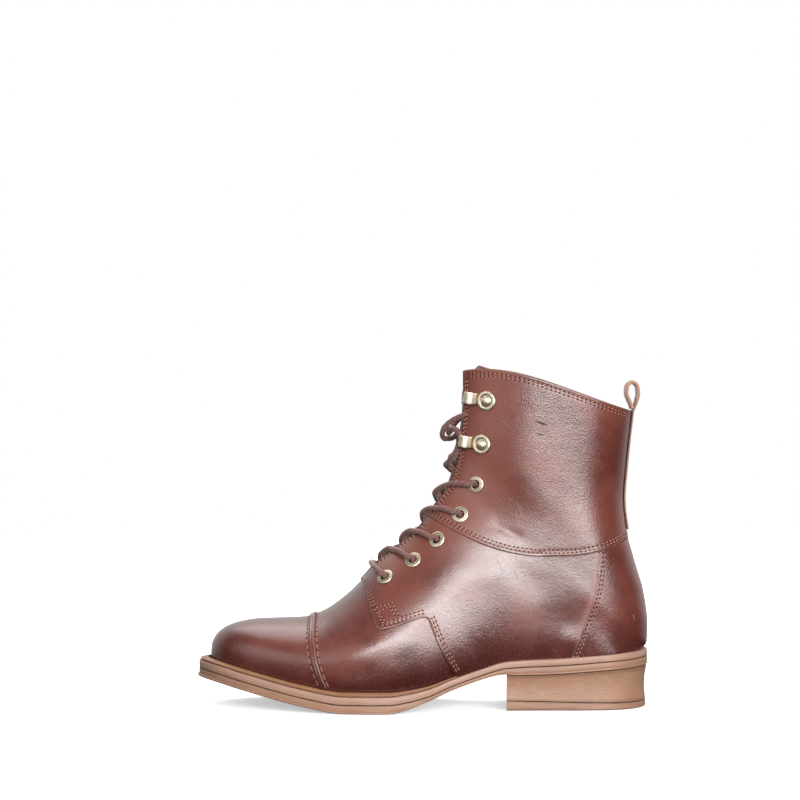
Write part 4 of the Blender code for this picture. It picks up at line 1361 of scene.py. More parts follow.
@dataclass(frozen=True)
class Plain(Finish):
    """Small things of one stuff, such as thread, stitch holes and scuffs, with a little noise."""

    colour: Colour
    other: Colour
    rough: float = 0.6
    size: float = 0.5
    shine: float = 0.25

    def make(self) -> Material:
        """Noise between two near colours, and a light bump.

        Returns:
            The material.
        """
        nodes = Nodes(self.name)
        blots = nodes.noise(nodes.place(), self.size, 2.0)
        colour = nodes.mix(nodes.ramp(blots, 0.35, 0.65), self.colour, self.other)
        return nodes.finish(Base_Color=colour, Roughness=self.rough, Normal=nodes.bump(blots, 0.05, 0.4),
                            Specular_IOR_Level=self.shine)


BOOT_LEATHER = PolishedLeather("boot leather finish")
TONGUE_LEATHER = PolishedLeather("tongue leather finish", rough=0.45, shine=0.5, cut=(0.36, 0.20, 0.13))
STRAP_LEATHER = PolishedLeather("strap leather finish", cut=(0.40, 0.215, 0.145))
LINING = BareLeather("lining finish", (0.300, 0.170, 0.110), (0.190, 0.095, 0.060))
CUT_EDGE = BareLeather("cut edge finish", (0.130, 0.060, 0.043), (0.090, 0.036, 0.026), 0.9, 0.05)
INSOLE = BareLeather("insole finish", (0.420, 0.270, 0.170), (0.270, 0.150, 0.090))
TREAD = BareLeather("tread finish", (0.330, 0.180, 0.110), (0.210, 0.110, 0.065), 0.65)
MIDSOLE_EDGE = SoleEdge("midsole edge finish")
OUTSOLE_EDGE = SoleEdge("outsole edge finish", pale=(0.270, 0.150, 0.098), body=(0.200, 0.104, 0.066))
HEEL_EDGE = SoleEdge("heel edge finish", pale=(0.285, 0.156, 0.098), body=(0.200, 0.102, 0.062),
                     strata=0.32)
WELT_EDGE = SoleEdge("welt edge finish", pale=(0.300, 0.150, 0.075), body=(0.215, 0.098, 0.048))
BRASS = AntiqueBrass("antique brass finish")
YARN = LaceYarn("lace yarn finish")
THREAD = Plain("thread finish", (0.340, 0.150, 0.112), (0.235, 0.092, 0.068), 0.7, 0.4)
# Painted shade: the stitch holes are near-black discs on the leather
HOLE_SHADE = Plain("stitch hole finish", (0.012, 0.005, 0.004), (0.022, 0.009, 0.007), 0.9)
PALE_SCUFF = Plain("pale scuff finish", (0.260, 0.150, 0.125), (0.160, 0.068, 0.052), 0.5, 0.8, 0.5)
DARK_SCUFF = Plain("dark scuff finish", (0.022, 0.010, 0.008), (0.070, 0.034, 0.028), 0.95, 0.8, 0.0)


def leather_marks(u: Array, turn: Array, points: Array, edge: Array) -> dict[str, Array]:
    """The numbers that the leather's finish reads.

    Args:
        u: place along the fan.
        turn: place around the section.
        points: the leather's points.
        edge: distance to the panel's cut edge.

    Returns:
        warm, which is 1 beside the facings and fades behind them; low, which is painted shade: 1 along the
        sole, fading upwards, most at the waist; and edge.
    """
    x, z = points[..., 0], points[..., 2]
    throat, half = FAN.throat_turn(u), FAN.value("half", u)
    behind = half * (turn - throat)
    warm = (1 - fade(behind, *WARM_REACH)) * fade(u, THROAT, THROAT + 1.5)
    waist = np.exp(-(((x - WAIST_X) / WAIST_WIDE) ** 2))
    above = z - sole_at("seat", x)
    # low is painted shade: it deepens the colour along the sole, most at the waist, and in a line at the foot
    low = (1 - fade(above, PAINTED_SHADE_FROM, PAINTED_SHADE_TO + PAINTED_SHADE_TO_AT_WAIST * waist)) * (0.35 + 0.65 * waist)
    low = np.maximum(low, 0.5 * (1 - fade(above, *FOOT_SHADE_LINE)))
    return {"warm": warm, "low": low, "edge": edge}


def outside_holes(points: Array, side: Side, radius: float) -> Array:
    """Which cells of a grid lie outside the eyelets' holes.

    Args:
        points: the grid's points.
        side: the side of the boot.
        radius: the holes' radius.

    Returns:
        For each cell, whether it stays.
    """
    u, turn = FAN.locate(EYELETS)
    middles = FAN.point(u, side * turn, 0.0)
    cells = (points[:-1, :-1] + points[1:, 1:]) / 2
    return np.linalg.norm(cells[:, :, None] - middles, axis=-1).min(axis=-1) > radius


def leather_wall(name: str, u: Array, turn: Array, lift: Array | float, edge: Array, thick: float,
                 sides: Iterable[Side] = Side, hole: float = 0.0, burnish: Array | float = 0.0) -> None:
    """A wall of boot leather: the upper's face, lifted at a grid of places, and thickened inwards.

    Args:
        name: the solid that it stands for.
        u: places along the fan.
        turn: places around the sections.
        lift: height of its face.
        edge: distance to its cut edges.
        thick: its thickness.
        sides: the sides of the boot that it covers.
        hole: radius of the holes under the eyelets.
        burnish: a share of warm, rubbed colour.
    """
    grids, outward = Grids(), []
    for side in sides:
        points = FAN.point(u, side * turn, lift)
        marks = leather_marks(u, turn, points, edge)
        marks["warm"] = np.maximum(marks["warm"], burnish)
        grids.add(points, keep=outside_holes(points, side, hole), **marks)
        outward.append(FAN.normal(u, side * turn).reshape(-1, 3))
    mesh = thick_mesh(grids.mesh(name, np.vstack(outward)), thick, BOOT_LEATHER)
    place_piece(name + "_leather", mesh, [], [name])


@dataclass
class Upper:
    """The hollow upper: toe cap, vamp and lining, with the holes under the eyelets."""

    columns: int = 66
    rows_in_section: int = 6
    hole: float = 3.1
    edge_scale: float = 8.0
    extra_rows: tuple[float, ...] = (0.02, 0.05, 0.09, 0.25, 10.01, 10.03, 10.07, 10.12, 10.24, 10.42, 10.58,
                                     16.93, 16.97)

    def rows(self) -> Array:
        """Rows of the fan, closer at the toe's tip and at the throat's round foot."""
        even = np.linspace(0.0, COLLAR, COLLAR * self.rows_in_section + 1)
        return np.unique(np.concatenate([even, self.extra_rows]))

    def build(self) -> None:
        """The outer sheet is the fan's face, opened at the throat and cut at the eyelets, then thickened."""
        rows = self.rows()[:, None]
        throat = FAN.throat_turn(rows)
        turn = throat + (HALF_TURN - throat) * np.linspace(0.0, 1.0, self.columns + 1)
        turn = np.where(rows == 0.0, 0.0, turn)
        u = np.broadcast_to(rows, turn.shape)
        edge = np.minimum(COLLAR - u, np.where(u > THROAT, turn - throat, 9.0)) * self.edge_scale
        leather_wall("upper", u, turn, 0.0, edge, WALL, hole=self.hole)


@dataclass
class Panels:
    """The leather panels on the upper: toe cap strip, quarters, counter and shafts."""

    roll: float = 0.32
    roll_wide: float = 0.9
    sink: float = 0.12
    sink_at: float = 3.1
    sink_wide: float = 1.3
    hole: float = 3.1
    strip_wide: float = 3.8
    strip_shoulder: float = 0.6
    strip_groove: float = 0.22
    strip_wall: float = 0.4
    seam_burnish: float = 1.1
    burnish_wide: tuple[float, float] = (0.8, 3.2)
    burnish_above: tuple[float, float] = (36.0, 46.0)

    def lift(self, thick: float, edge: Array) -> Array:
        """Height of a panel's face: its edge is rolled down, and it sinks along its stitching.

        Args:
            thick: the leather's thickness.
            edge: distance to the cut edge.

        Returns:
            The height.
        """
        rolled = self.roll * (1 - fade(edge, 0.0, self.roll_wide))
        sunk = self.sink * np.exp(-(((edge - self.sink_at) / self.sink_wide) ** 2))
        return GAP + thick - rolled - sunk

    @staticmethod
    def ruled(first: Trail, second: Trail, across: int) -> Pair:
        """u and turn of straight lines between two edges, with points closer at both ends."""
        ends, share = ((first.u, second.u), (first.turn, second.turn)), gathered(across)
        return tuple(start[:, None] * (1 - share) + end[:, None] * share for start, end in ends)

    @staticmethod
    def end_distance(points: Array, first_bare: Array | bool = True, last_bare: Array | bool = True) -> Array:
        """Distance to the nearer end of each row's line.

        Args:
            points: rows of points.
            first_bare: for each row, whether its first end is a bare edge and not tucked under something.
            last_bare: the same for its last end.

        Returns:
            The distance to the nearer bare end, and a large number where both ends are tucked under.
        """
        far, rows = 50.0, len(points)
        run = lengths(points, axis=1)
        first = np.where(np.broadcast_to(first_bare, rows)[:, None], run, far)
        last = np.where(np.broadcast_to(last_bare, rows)[:, None], run[:, -1:] - run, far)
        return np.minimum(first, last)

    def panel(self, name: str, leather: Leather, u: Array, turn: Array, edge: Array,
              **options: object) -> None:
        """A panel from its grid of places on the upper, with the wall's other options."""
        lift, thick = self.lift(leather.value, edge), leather.value - self.roll
        leather_wall(name, u, turn, lift, edge, thick, hole=self.hole, **options)

    def build(self) -> None:
        """All panels."""
        self.build_quarters()
        self.build_counter()
        self.build_shafts()
        self.build_strip()

    def build_quarters(self) -> None:
        """Each quarter is ruled from its front and foot to its facing, the shaft's seam and the counter's."""
        stations, half_seam = 300, SEAM_GAP / 2
        front = SeamLines.quarter_front(160)
        counter = SeamLines.counter_edge(-half_seam, 40)
        shares = np.linspace(0.0, 1.0, 240)
        seam = SeamLines.shaft_edge(-half_seam, shares)
        before_counter = FAN.outline(seam.u, seam.turn)[0] < COUNTER_TOP_X - half_seam
        seam = seam.where(before_counter)
        facing = SeamLines.facing(QUARTER_START_U, float(seam.u[0]), 80)
        foot = SeamLines.foot(float(front.u[-1]), float(counter.u[0]), 80)
        first = front.then(foot).spaced(stations)
        second = facing.then(seam).then(counter.back()).spaced(stations)
        u, turn = self.ruled(first, second, 56)
        points = FAN.point(u, turn, 0.0)
        on_front = first.u < front.u[-1]
        on_front[stations // 2:] = False
        on_facing = np.abs(second.turn - FAN.throat_turn(second.u)) < 0.02
        edge = self.end_distance(points, on_front, on_facing)
        x, z = points[..., 0], points[..., 2]
        before = SeamLines.counter_seam_x(z) - x
        warm = self.seam_burnish * (1 - fade(before, *self.burnish_wide)) * fade(z, *self.burnish_above)
        for side in Side:
            self.panel(f"quarter_{side.name.lower()}", Leather.QUARTER, u, turn, edge, sides=[side],
                       burnish=warm)

    def build_counter(self) -> None:
        """The counter is ruled from its foot to its front seam and the shaft's, and meets itself behind."""
        stations, half_seam = 200, SEAM_GAP / 2
        edge_line = SeamLines.counter_edge(half_seam, 60)
        seam = SeamLines.shaft_edge(-half_seam, np.linspace(0.0, 1.0, 300))
        behind = FAN.outline(seam.u, seam.turn)[0] > COUNTER_TOP_X + half_seam
        seam = seam.where(behind)
        foot = SeamLines.foot(float(edge_line.u[0]), float(HEEL), 120).spaced(stations)
        top = edge_line.then(seam).spaced(stations)
        foot.turn[-1] = top.turn[-1] = HALF_TURN
        u, turn = self.ruled(foot, top, 40)
        on_front = FAN.outline(top.u, top.turn)[1] < float(SeamLines.shaft_seam_z(COUNTER_TOP_X)) - 1.0
        on_front[stations // 2:] = False
        edge = self.end_distance(FAN.point(u, turn, 0.0), False, on_front)
        self.panel("counter", Leather.COUNTER, u, turn, edge)

    def build_shafts(self) -> None:
        """Each shaft runs from its seam up to the collar, at shares of the way from facing to back."""
        shares = gathered(130) * (1 - RIDGE_TURN / HALF_TURN)
        seam = SeamLines.shaft_edge(SEAM_GAP / 2, shares)
        u = seam.u[:, None] + (COLLAR - seam.u[:, None]) * gathered(70)
        throat = FAN.throat_turn(u)
        turn = throat + (HALF_TURN - throat) * shares[:, None]
        points = FAN.point(u, turn, 0.0)
        edge = np.minimum(self.end_distance(points), lengths(points, axis=0))
        for side in Side:
            self.panel(f"shaft_{side.name.lower()}", Leather.SHAFT, u, turn, edge, sides=[side])

    def build_strip(self) -> None:
        """The strip over the toe cap's seam: an arched band with a groove along its middle."""
        turns = np.linspace(0.0, FAN.locate_one(TOE_STRIP[0])[1], 90)
        across = np.linspace(-1.0, 1.0, 15)
        trails = [SeamLines.toe_strip(float(offset), turns) for offset in across * self.strip_wide / 2]
        u = np.stack([trail.u for trail in trails], axis=1)
        turn = np.broadcast_to(turns[:, None], u.shape)
        arch = 1 - self.strip_shoulder * across**4 - self.strip_groove * np.exp(-((across / 0.2) ** 2))
        edge = np.broadcast_to((1 - np.abs(across)) * self.strip_wide / 2, u.shape) + 0.2
        thick = Leather.STRIP.value
        leather_wall("toe_cap_strip", u, turn, GAP + thick * arch, edge, thick * self.strip_wall)


@dataclass
class Tongue:
    """The tongue under the facings, which bulges into the throat and leans back at the top."""

    thick: float = 2.2
    gap: float = 1.8
    bulge: float = 1.2
    overlap: float = 9.0
    top: Place = Place(34.6, 207.2)
    top_back: float = 6.0
    top_fall: float = 2.2
    foot_u: float = 9.0
    free_u: float = 23.6
    bulge_from: tuple[float, float] = (10.7, 12.0)
    bare_edge: float = 6.0
    edge_scale: float = 12.0
    burnish: float = 0.4
    top_way: tuple[float, float, float] = (0.75, 0.0, 0.66)
    top_narrow: float = 0.97
    foot_narrow: float = 0.6
    bulge_share: float = 0.94

    def build(self) -> None:
        """A sheet under the upper, lifted in the middle by a parabola across the throat, then thickened."""
        across = np.linspace(-1.0, 1.0, 49)
        u = np.linspace(self.foot_u, self.free_u, 110)[:, None]
        from_foot = np.clip(u - self.foot_u, self.foot_narrow, 1.0)
        width = FAN.value("throat", u) * from_foot + self.overlap
        turn = np.arcsin(width / FAN.value("half", u)) * across
        u = np.broadcast_to(u, turn.shape)
        edge = np.arcsin(np.maximum(FAN.value("throat", u), 1.0) / FAN.value("half", u))
        open_throat = np.interp(u, self.bulge_from, (0.0, 1.0))
        arch = np.clip(1 - (np.abs(turn) / (self.bulge_share * edge)) ** 2, 0.0, 1.0)
        bulge = self.bulge * open_throat * arch
        points = FAN.point(u, turn, bulge - WALL - self.gap)
        outward = FAN.normal(u, turn)
        marks = leather_marks(u, np.abs(turn), points, np.full(u.shape, self.bare_edge))
        points, share = self.with_top(points, across)
        rows = len(share)
        marks = {name: np.concatenate([mark, np.repeat(mark[-1:], rows, axis=0)])
                 for name, mark in marks.items()}
        marks["warm"] = marks["warm"] * self.burnish
        marks["edge"][-rows:] = np.minimum((1 - share[:, None]) * self.edge_scale, self.bare_edge)
        outward = np.concatenate([outward, np.repeat(outward[-1:], rows, axis=0)])
        grids = Grids()
        grids.add(points, **marks)
        mesh = thick_mesh(grids.mesh("tongue", outward), self.thick, TONGUE_LEATHER)
        place_piece("tongue_leather", mesh, [], ["tongue"])

    def with_top(self, points: Array, across: Array) -> Pair:
        """The sheet with its free top, a Hermite curve from the last row back to a shallow arc.

        Args:
            points: the rows under the facings.
            across: the share across the tongue, from -1 to 1.

        Returns:
            All rows, and the share up the free top of each new one.
        """
        last = points[-1]
        ahead = last - points[-4]
        end = np.stack([self.top.x + self.top_back * across**2, last[:, 1] * self.top_narrow,
                        self.top.z - self.top_fall * across**2], axis=-1)
        share = np.linspace(0.0, 1.0, 14)[1:]
        t = share[:, None, None]
        reach = np.linalg.norm(end - last, axis=-1, keepdims=True)
        start_way, end_way = unit(ahead) * reach, unit(np.array(self.top_way)) * reach
        start = last * (1 + 2 * t) + start_way * t
        finish = end * (3 - 2 * t) - end_way * (1 - t)
        return np.concatenate([points, start * (1 - t) ** 2 + finish * t**2]), share


@dataclass
class PullLoop:
    """The back strip and the loop that it makes above the collar, as one strap."""

    wide: float = 13.0
    sag: float = 0.75
    strap_thick: float = 1.0
    loop_thick: float = 2.2
    thicker_from: tuple[float, float] = (-1.0, 9.0)
    first_u: float = 21.0
    burnish: float = 0.35
    bare_edge: float = 6.0

    def build(self) -> None:
        """A flat section with rounded edges, carried up the back and round the loop."""
        lift = GAP + Leather.SHAFT.value + GAP + self.strap_thick / 2
        u = np.linspace(self.first_u, COLLAR, 40)
        back = FAN.point(u, np.full(u.shape, HALF_TURN), lift)[:, [0, 2]]
        loop = curve_through(PULL_LOOP, 90)
        path = np.vstack([back, loop[1:]])
        along = unit(np.gradient(path, axis=0))
        out = np.stack([along[:, 1], -along[:, 0]], axis=-1)
        run = lengths(path)
        on_loop = fade(run - run[len(back) - 1], *self.thicker_from)
        thick = self.strap_thick + (self.loop_thick - self.strap_thick) * on_loop
        share = np.linspace(-1.0, 1.0, 15)
        sheets = []
        for level in (0.5, -0.5):
            round_edge = np.sqrt(np.clip(1 - share**12, 0.0, 1.0))
            shift = level * thick[:, None] * round_edge - self.sag * (1 - on_loop)[:, None] * share**2
            x = path[:, :1] + out[:, :1] * shift
            z = path[:, 1:] + out[:, 1:] * shift
            sheets.append(np.stack([x, np.broadcast_to(share * self.wide / 2, x.shape), z], axis=-1))
        edge = self.bare_edge * (np.abs(np.concatenate([share, share[::-1]])) < 0.8)
        # The strap is warm by its burnish and gets no painted shade low down
        grids, burnish_and_shade = Grids(), {"warm": self.burnish, "low": 0.0}
        grids.add_plate(sheets, {**burnish_and_shade, "edge": 0.0}, **burnish_and_shade, edge=edge)
        mesh = grids.mesh("pull_loop")
        place_piece("pull_loop_strap", mesh, [STRAP_LEATHER], ["pull_loop"])


@dataclass
class SoleUnit:
    """Outsole, midsole, welt, heel stack and its top piece; the insole keeps its solid."""

    stations: int = 150
    columns: int = 9
    breast_x: float = 50.5
    breast_slant: float = 2.6
    slant_reach: float = 24.0
    corner_share: float = 0.11
    rim_out: float = 0.9
    rim_end_x: float = 5.0
    rim_fade: float = 25.0
    top_piece_front: float = 5.6
    top_piece_back: float = 3.6
    welt_inner: float = 1.6
    welt_step: float = 0.9
    welt_rise: float = 0.8
    welt_end_x: float = 20.0
    welt_fall: float = 0.7
    welt_crown: float = 0.22
    welt_section: tuple[WeltLine, ...] = rows_of(
        WeltLine, (0.0, 0.0, 0.0, 1.0), (1.0, 0.15, 0.0, 1.0), (1.0, 0.0, 0.8, 0.9), (0.97, 0.0, 1.0, 0.5),
        (0.9, 0.0, 1.0, 0.1), (0.7, 0.0, 1.0, 0.0), (0.5, 0.0, 1.0, 0.0), (0.3, 0.0, 1.0, 0.1),
        (0.1, 0.0, 1.0, 0.6), (0.0, 0.0, 1.0, 1.0))
    midsole_edge: tuple[Edge, ...] = rows_of(
        Edge, (0.0, -0.5), (0.05, -0.12), (0.12, 0.0), (0.45, 0.05), (0.78, 0.0), (0.9, -0.2),
        (0.97, -0.5), (1.0, -0.9))
    outsole_edge: tuple[Edge, ...] = rows_of(
        Edge, (0.0, -0.7, 1.0), (0.03, -0.25, 1.0), (0.09, 0.0, 1.0), (0.20, 0.0, 1.0), (0.26, -0.2, 1.0),
        (0.30, -0.1, 0.35), (0.34, 0.0), (0.6, 0.06), (0.92, 0.0), (0.97, -0.12), (1.0, -0.5))
    stack_edge: tuple[Edge, ...] = rows_of(
        Edge, (0.0, -1.6), (0.015, -1.25), (0.12, -1.4), (0.35, -1.8), (0.55, -1.7), (0.7, -1.5),
        (0.85, -0.95), (0.98, -0.35), (1.0, -0.7))
    top_piece_edge: tuple[Edge, ...] = rows_of(
        Edge, (0.0, -1.8), (0.05, -1.3), (0.14, -1.0), (0.5, -0.98), (0.92, -1.1), (1.0, -1.5))

    def line(self, s: Array, side: Side, out: Heights) -> Array:
        """The sole line from toe to heel, moved out square to itself.

        Args:
            s: from 0 at the toe to 1 at the heel, along a cosine, so that points gather at both ends.
            side: which side.
            out: distance outwards, as a function of x.

        Returns:
            Rows of x and y.
        """
        nudge = 1e-4

        def edge(at: Array) -> Array:
            """The sole line itself.

            Args:
                at: from 0 at the toe to 1 at the heel.

            Returns:
                Rows of x and y.
            """
            x = TOE_X + (HEEL_X - TOE_X) * (1 - np.cos(HALF_TURN * at)) / 2
            middle, half = plan_at(x)
            return np.stack([x, middle + side * half], axis=-1)

        here = edge(s)
        along = unit(edge(np.minimum(s + nudge, 1.0)) - edge(np.maximum(s - nudge, 0.0)))
        normal = np.stack([-along[:, 1], along[:, 0]], axis=-1) * side
        return here + normal * out(here[:, 0])[:, None]

    @staticmethod
    def share_at(x: float) -> float:
        """How far along the sole line x is, by the same cosine."""
        return math.acos(1 - 2 * (x - TOE_X) / (HEEL_X - TOE_X)) / HALF_TURN

    def height(self, level: Level, x: Array) -> Array:
        """Height of a level of the sole at x.

        Args:
            level: which level.
            x: places along the boot.

        Returns:
            The heights: each layer's thickness taken off the seat, and the wearing piece as a wedge.
        """
        seat = sole_at("seat", x)
        midsole = seat - sole_at("midsole", x)
        outsole = midsole - sole_at("outsole", x)
        wear = np.interp(x, [self.breast_x, HEEL_X], [self.top_piece_front, self.top_piece_back])
        return {Level.SEAT: seat, Level.MIDSOLE: midsole, Level.OUTSOLE: outsole, Level.WEAR: wear,
                Level.GROUND: np.zeros_like(x)}[level]

    def layer(self, node: str, first_x: float | None, edges: tuple[Edge, ...], foot: Level, top: Level,
              gaps: tuple[float, float], finishes: list[Finish]) -> None:
        """One layer: rings up its edge between two heights, closed across top and bottom.

        Args:
            node: the solid that it stands for.
            first_x: where it starts; a layer with no such place runs from the toe.
            edges: the outline of its edge.
            foot: the level of its underside.
            top: the level of its top.
            gaps: how far it keeps above its foot and below its top.
            finishes: the finish of its edge and top, and of its underside.
        """
        on_heel = first_x is not None
        s = np.linspace(self.share_at(first_x) if on_heel else 0.0, 1.0, self.stations // (1 + on_heel))
        rings, marks = [], []
        for edge in edges:
            def out(x: Array, edge: Edge = edge) -> Array:
                """How far the ring stands out of the sole line."""
                rim = self.rim_out * np.clip((self.rim_end_x - x) / self.rim_fade, 0.0, 1.0)
                return sole_at("ledge", x) + edge.out + edge.rim * rim

            lateral, medial = self.line(s, Side.LATERAL, out), self.line(s, Side.MEDIAL, out)
            plan = np.vstack([lateral, medial[::-1]])
            if on_heel:
                near = np.clip(1 - (plan[:, 0] - first_x) / self.slant_reach, 0.0, 1.0)
                inner = np.clip(0.5 + plan[:, 1] / (2 * plan[:, 1].max()), 0.0, 1.0)
                plan[:, 0] += self.breast_slant * near * inner
            low, high = self.height(foot, plan[:, 0]) + gaps[0], self.height(top, plan[:, 0]) - gaps[1]
            rings.append(np.column_stack([plan, low + (high - low) * edge.share]))
            marks.append(1.0 - fade(min(edge.share, 1 - edge.share), 0.0, self.corner_share))
        rings = np.array(rings)
        above = rings[..., 2] - (self.height(foot, rings[..., 0]) + gaps[0])
        grids = Grids()
        grids.add(rings, closed=True, chart=(lengths(rings[0]), above), corner=np.array(marks)[:, None])
        across = np.linspace(0.0, 1.0, self.columns)[:, None, None]
        for ring, finish in ((rings[0], 1), (rings[-1], 0)):
            left, right = ring[:len(s)], ring[len(s):][::-1]
            cap = left + (right - left) * across
            grids.add(cap, finish=finish, chart=(cap[..., 0], cap[..., 1]), corner=0.0)
        place_piece(node + "_edge", grids.mesh(node), finishes, [node], sharp=35.0)

    def build(self) -> None:
        """All layers, from the seat down, and the welt."""
        self.layer("midsole", None, self.midsole_edge, Level.MIDSOLE, Level.SEAT, (0.0, 0.0),
                   [MIDSOLE_EDGE, MIDSOLE_EDGE])
        self.layer("outsole", None, self.outsole_edge, Level.OUTSOLE, Level.MIDSOLE, (0.0, GAP),
                   [OUTSOLE_EDGE, TREAD])
        self.layer("heel_stack", self.breast_x, self.stack_edge, Level.WEAR, Level.OUTSOLE, (GAP, GAP),
                   [HEEL_EDGE, HEEL_EDGE])
        self.layer("heel_top_piece", self.breast_x, self.top_piece_edge, Level.GROUND, Level.WEAR, (0.0, 0.0),
                   [OUTSOLE_EDGE, TREAD])
        self.build_welt()
        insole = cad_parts["insole"]
        insole.data.materials.clear()
        insole.data.materials.append(INSOLE.material())

    def build_welt(self) -> None:
        """The bevelled strip on the midsole, from waist to waist: its section carried along the sole line."""
        s = np.linspace(self.share_at(self.welt_end_x), 0.0, 120)
        section = np.stack([self.welt_line(s, row) for row in self.welt_section], axis=1)
        chart = (lengths(section[:, 0])[:, None], np.linspace(0.0, 6.0, section.shape[1]))
        grids = Grids()
        grids.add(section, closed=True, chart=chart, corner=column(self.welt_section, "corner"))
        half = section.shape[1] // 2
        for tip in (section[0], section[-1]):
            grids.add(np.stack([tip[:half], tip[half:][::-1]]), corner=0.5)
        place_piece("welt_strip", grids.mesh("welt"), [WELT_EDGE], ["welt"], sharp=35.0)

    def welt_line(self, s: Array, row: WeltLine) -> Array:
        """One line of the welt's section, along both sides of the boot.

        Args:
            s: stations from the waist to the toe.
            row: the line's place in the section.

        Returns:
            Its points; their height falls outwards along the bevel, with a low crown in its middle.
        """
        def out(x: Array) -> Array:
            """How far the line stands out of the sole line."""
            outer = sole_at("ledge", x) - self.welt_step
            return self.welt_inner + (outer - self.welt_inner) * row.share - row.inset

        plan = np.vstack([self.line(s, Side.LATERAL, out), self.line(s[-2::-1], Side.MEDIAL, out)])
        x = plan[:, 0]
        top = sole_at("rise", x) - GAP
        low = np.minimum(self.welt_rise, self.welt_fall * sole_at("rise", x))
        bevel = top + (low - top) * row.share + self.welt_crown * math.sin(HALF_TURN * row.share)
        return np.column_stack([plan, self.height(Level.SEAT, x) + GAP + bevel * row.lift])


class FittingFrame(NamedTuple):
    """Where a fitting sits: rows are its X axis towards the throat, its Y axis, and its Z axis outwards."""

    axes: Array
    origin: Array


def fitting_frame(at: Place, side: Side, lift: float) -> FittingFrame:
    """The frame of a fitting at a place in the side view, lifted off the upper, a little up from level.

    Args:
        at: its place in the side view.
        side: the side of the boot.
        lift: height over the upper.

    Returns:
        The frame.
    """
    u, turn = FAN.locate_one(at)
    v = np.array(side * turn)
    out = FAN.normal(np.array(u), v)
    forward = np.array(FITTING_AHEAD)
    forward = unit(forward - out * forward.dot(out))
    return FittingFrame(np.array([forward, np.cross(out, forward), out]), FAN.point(u, v, lift))


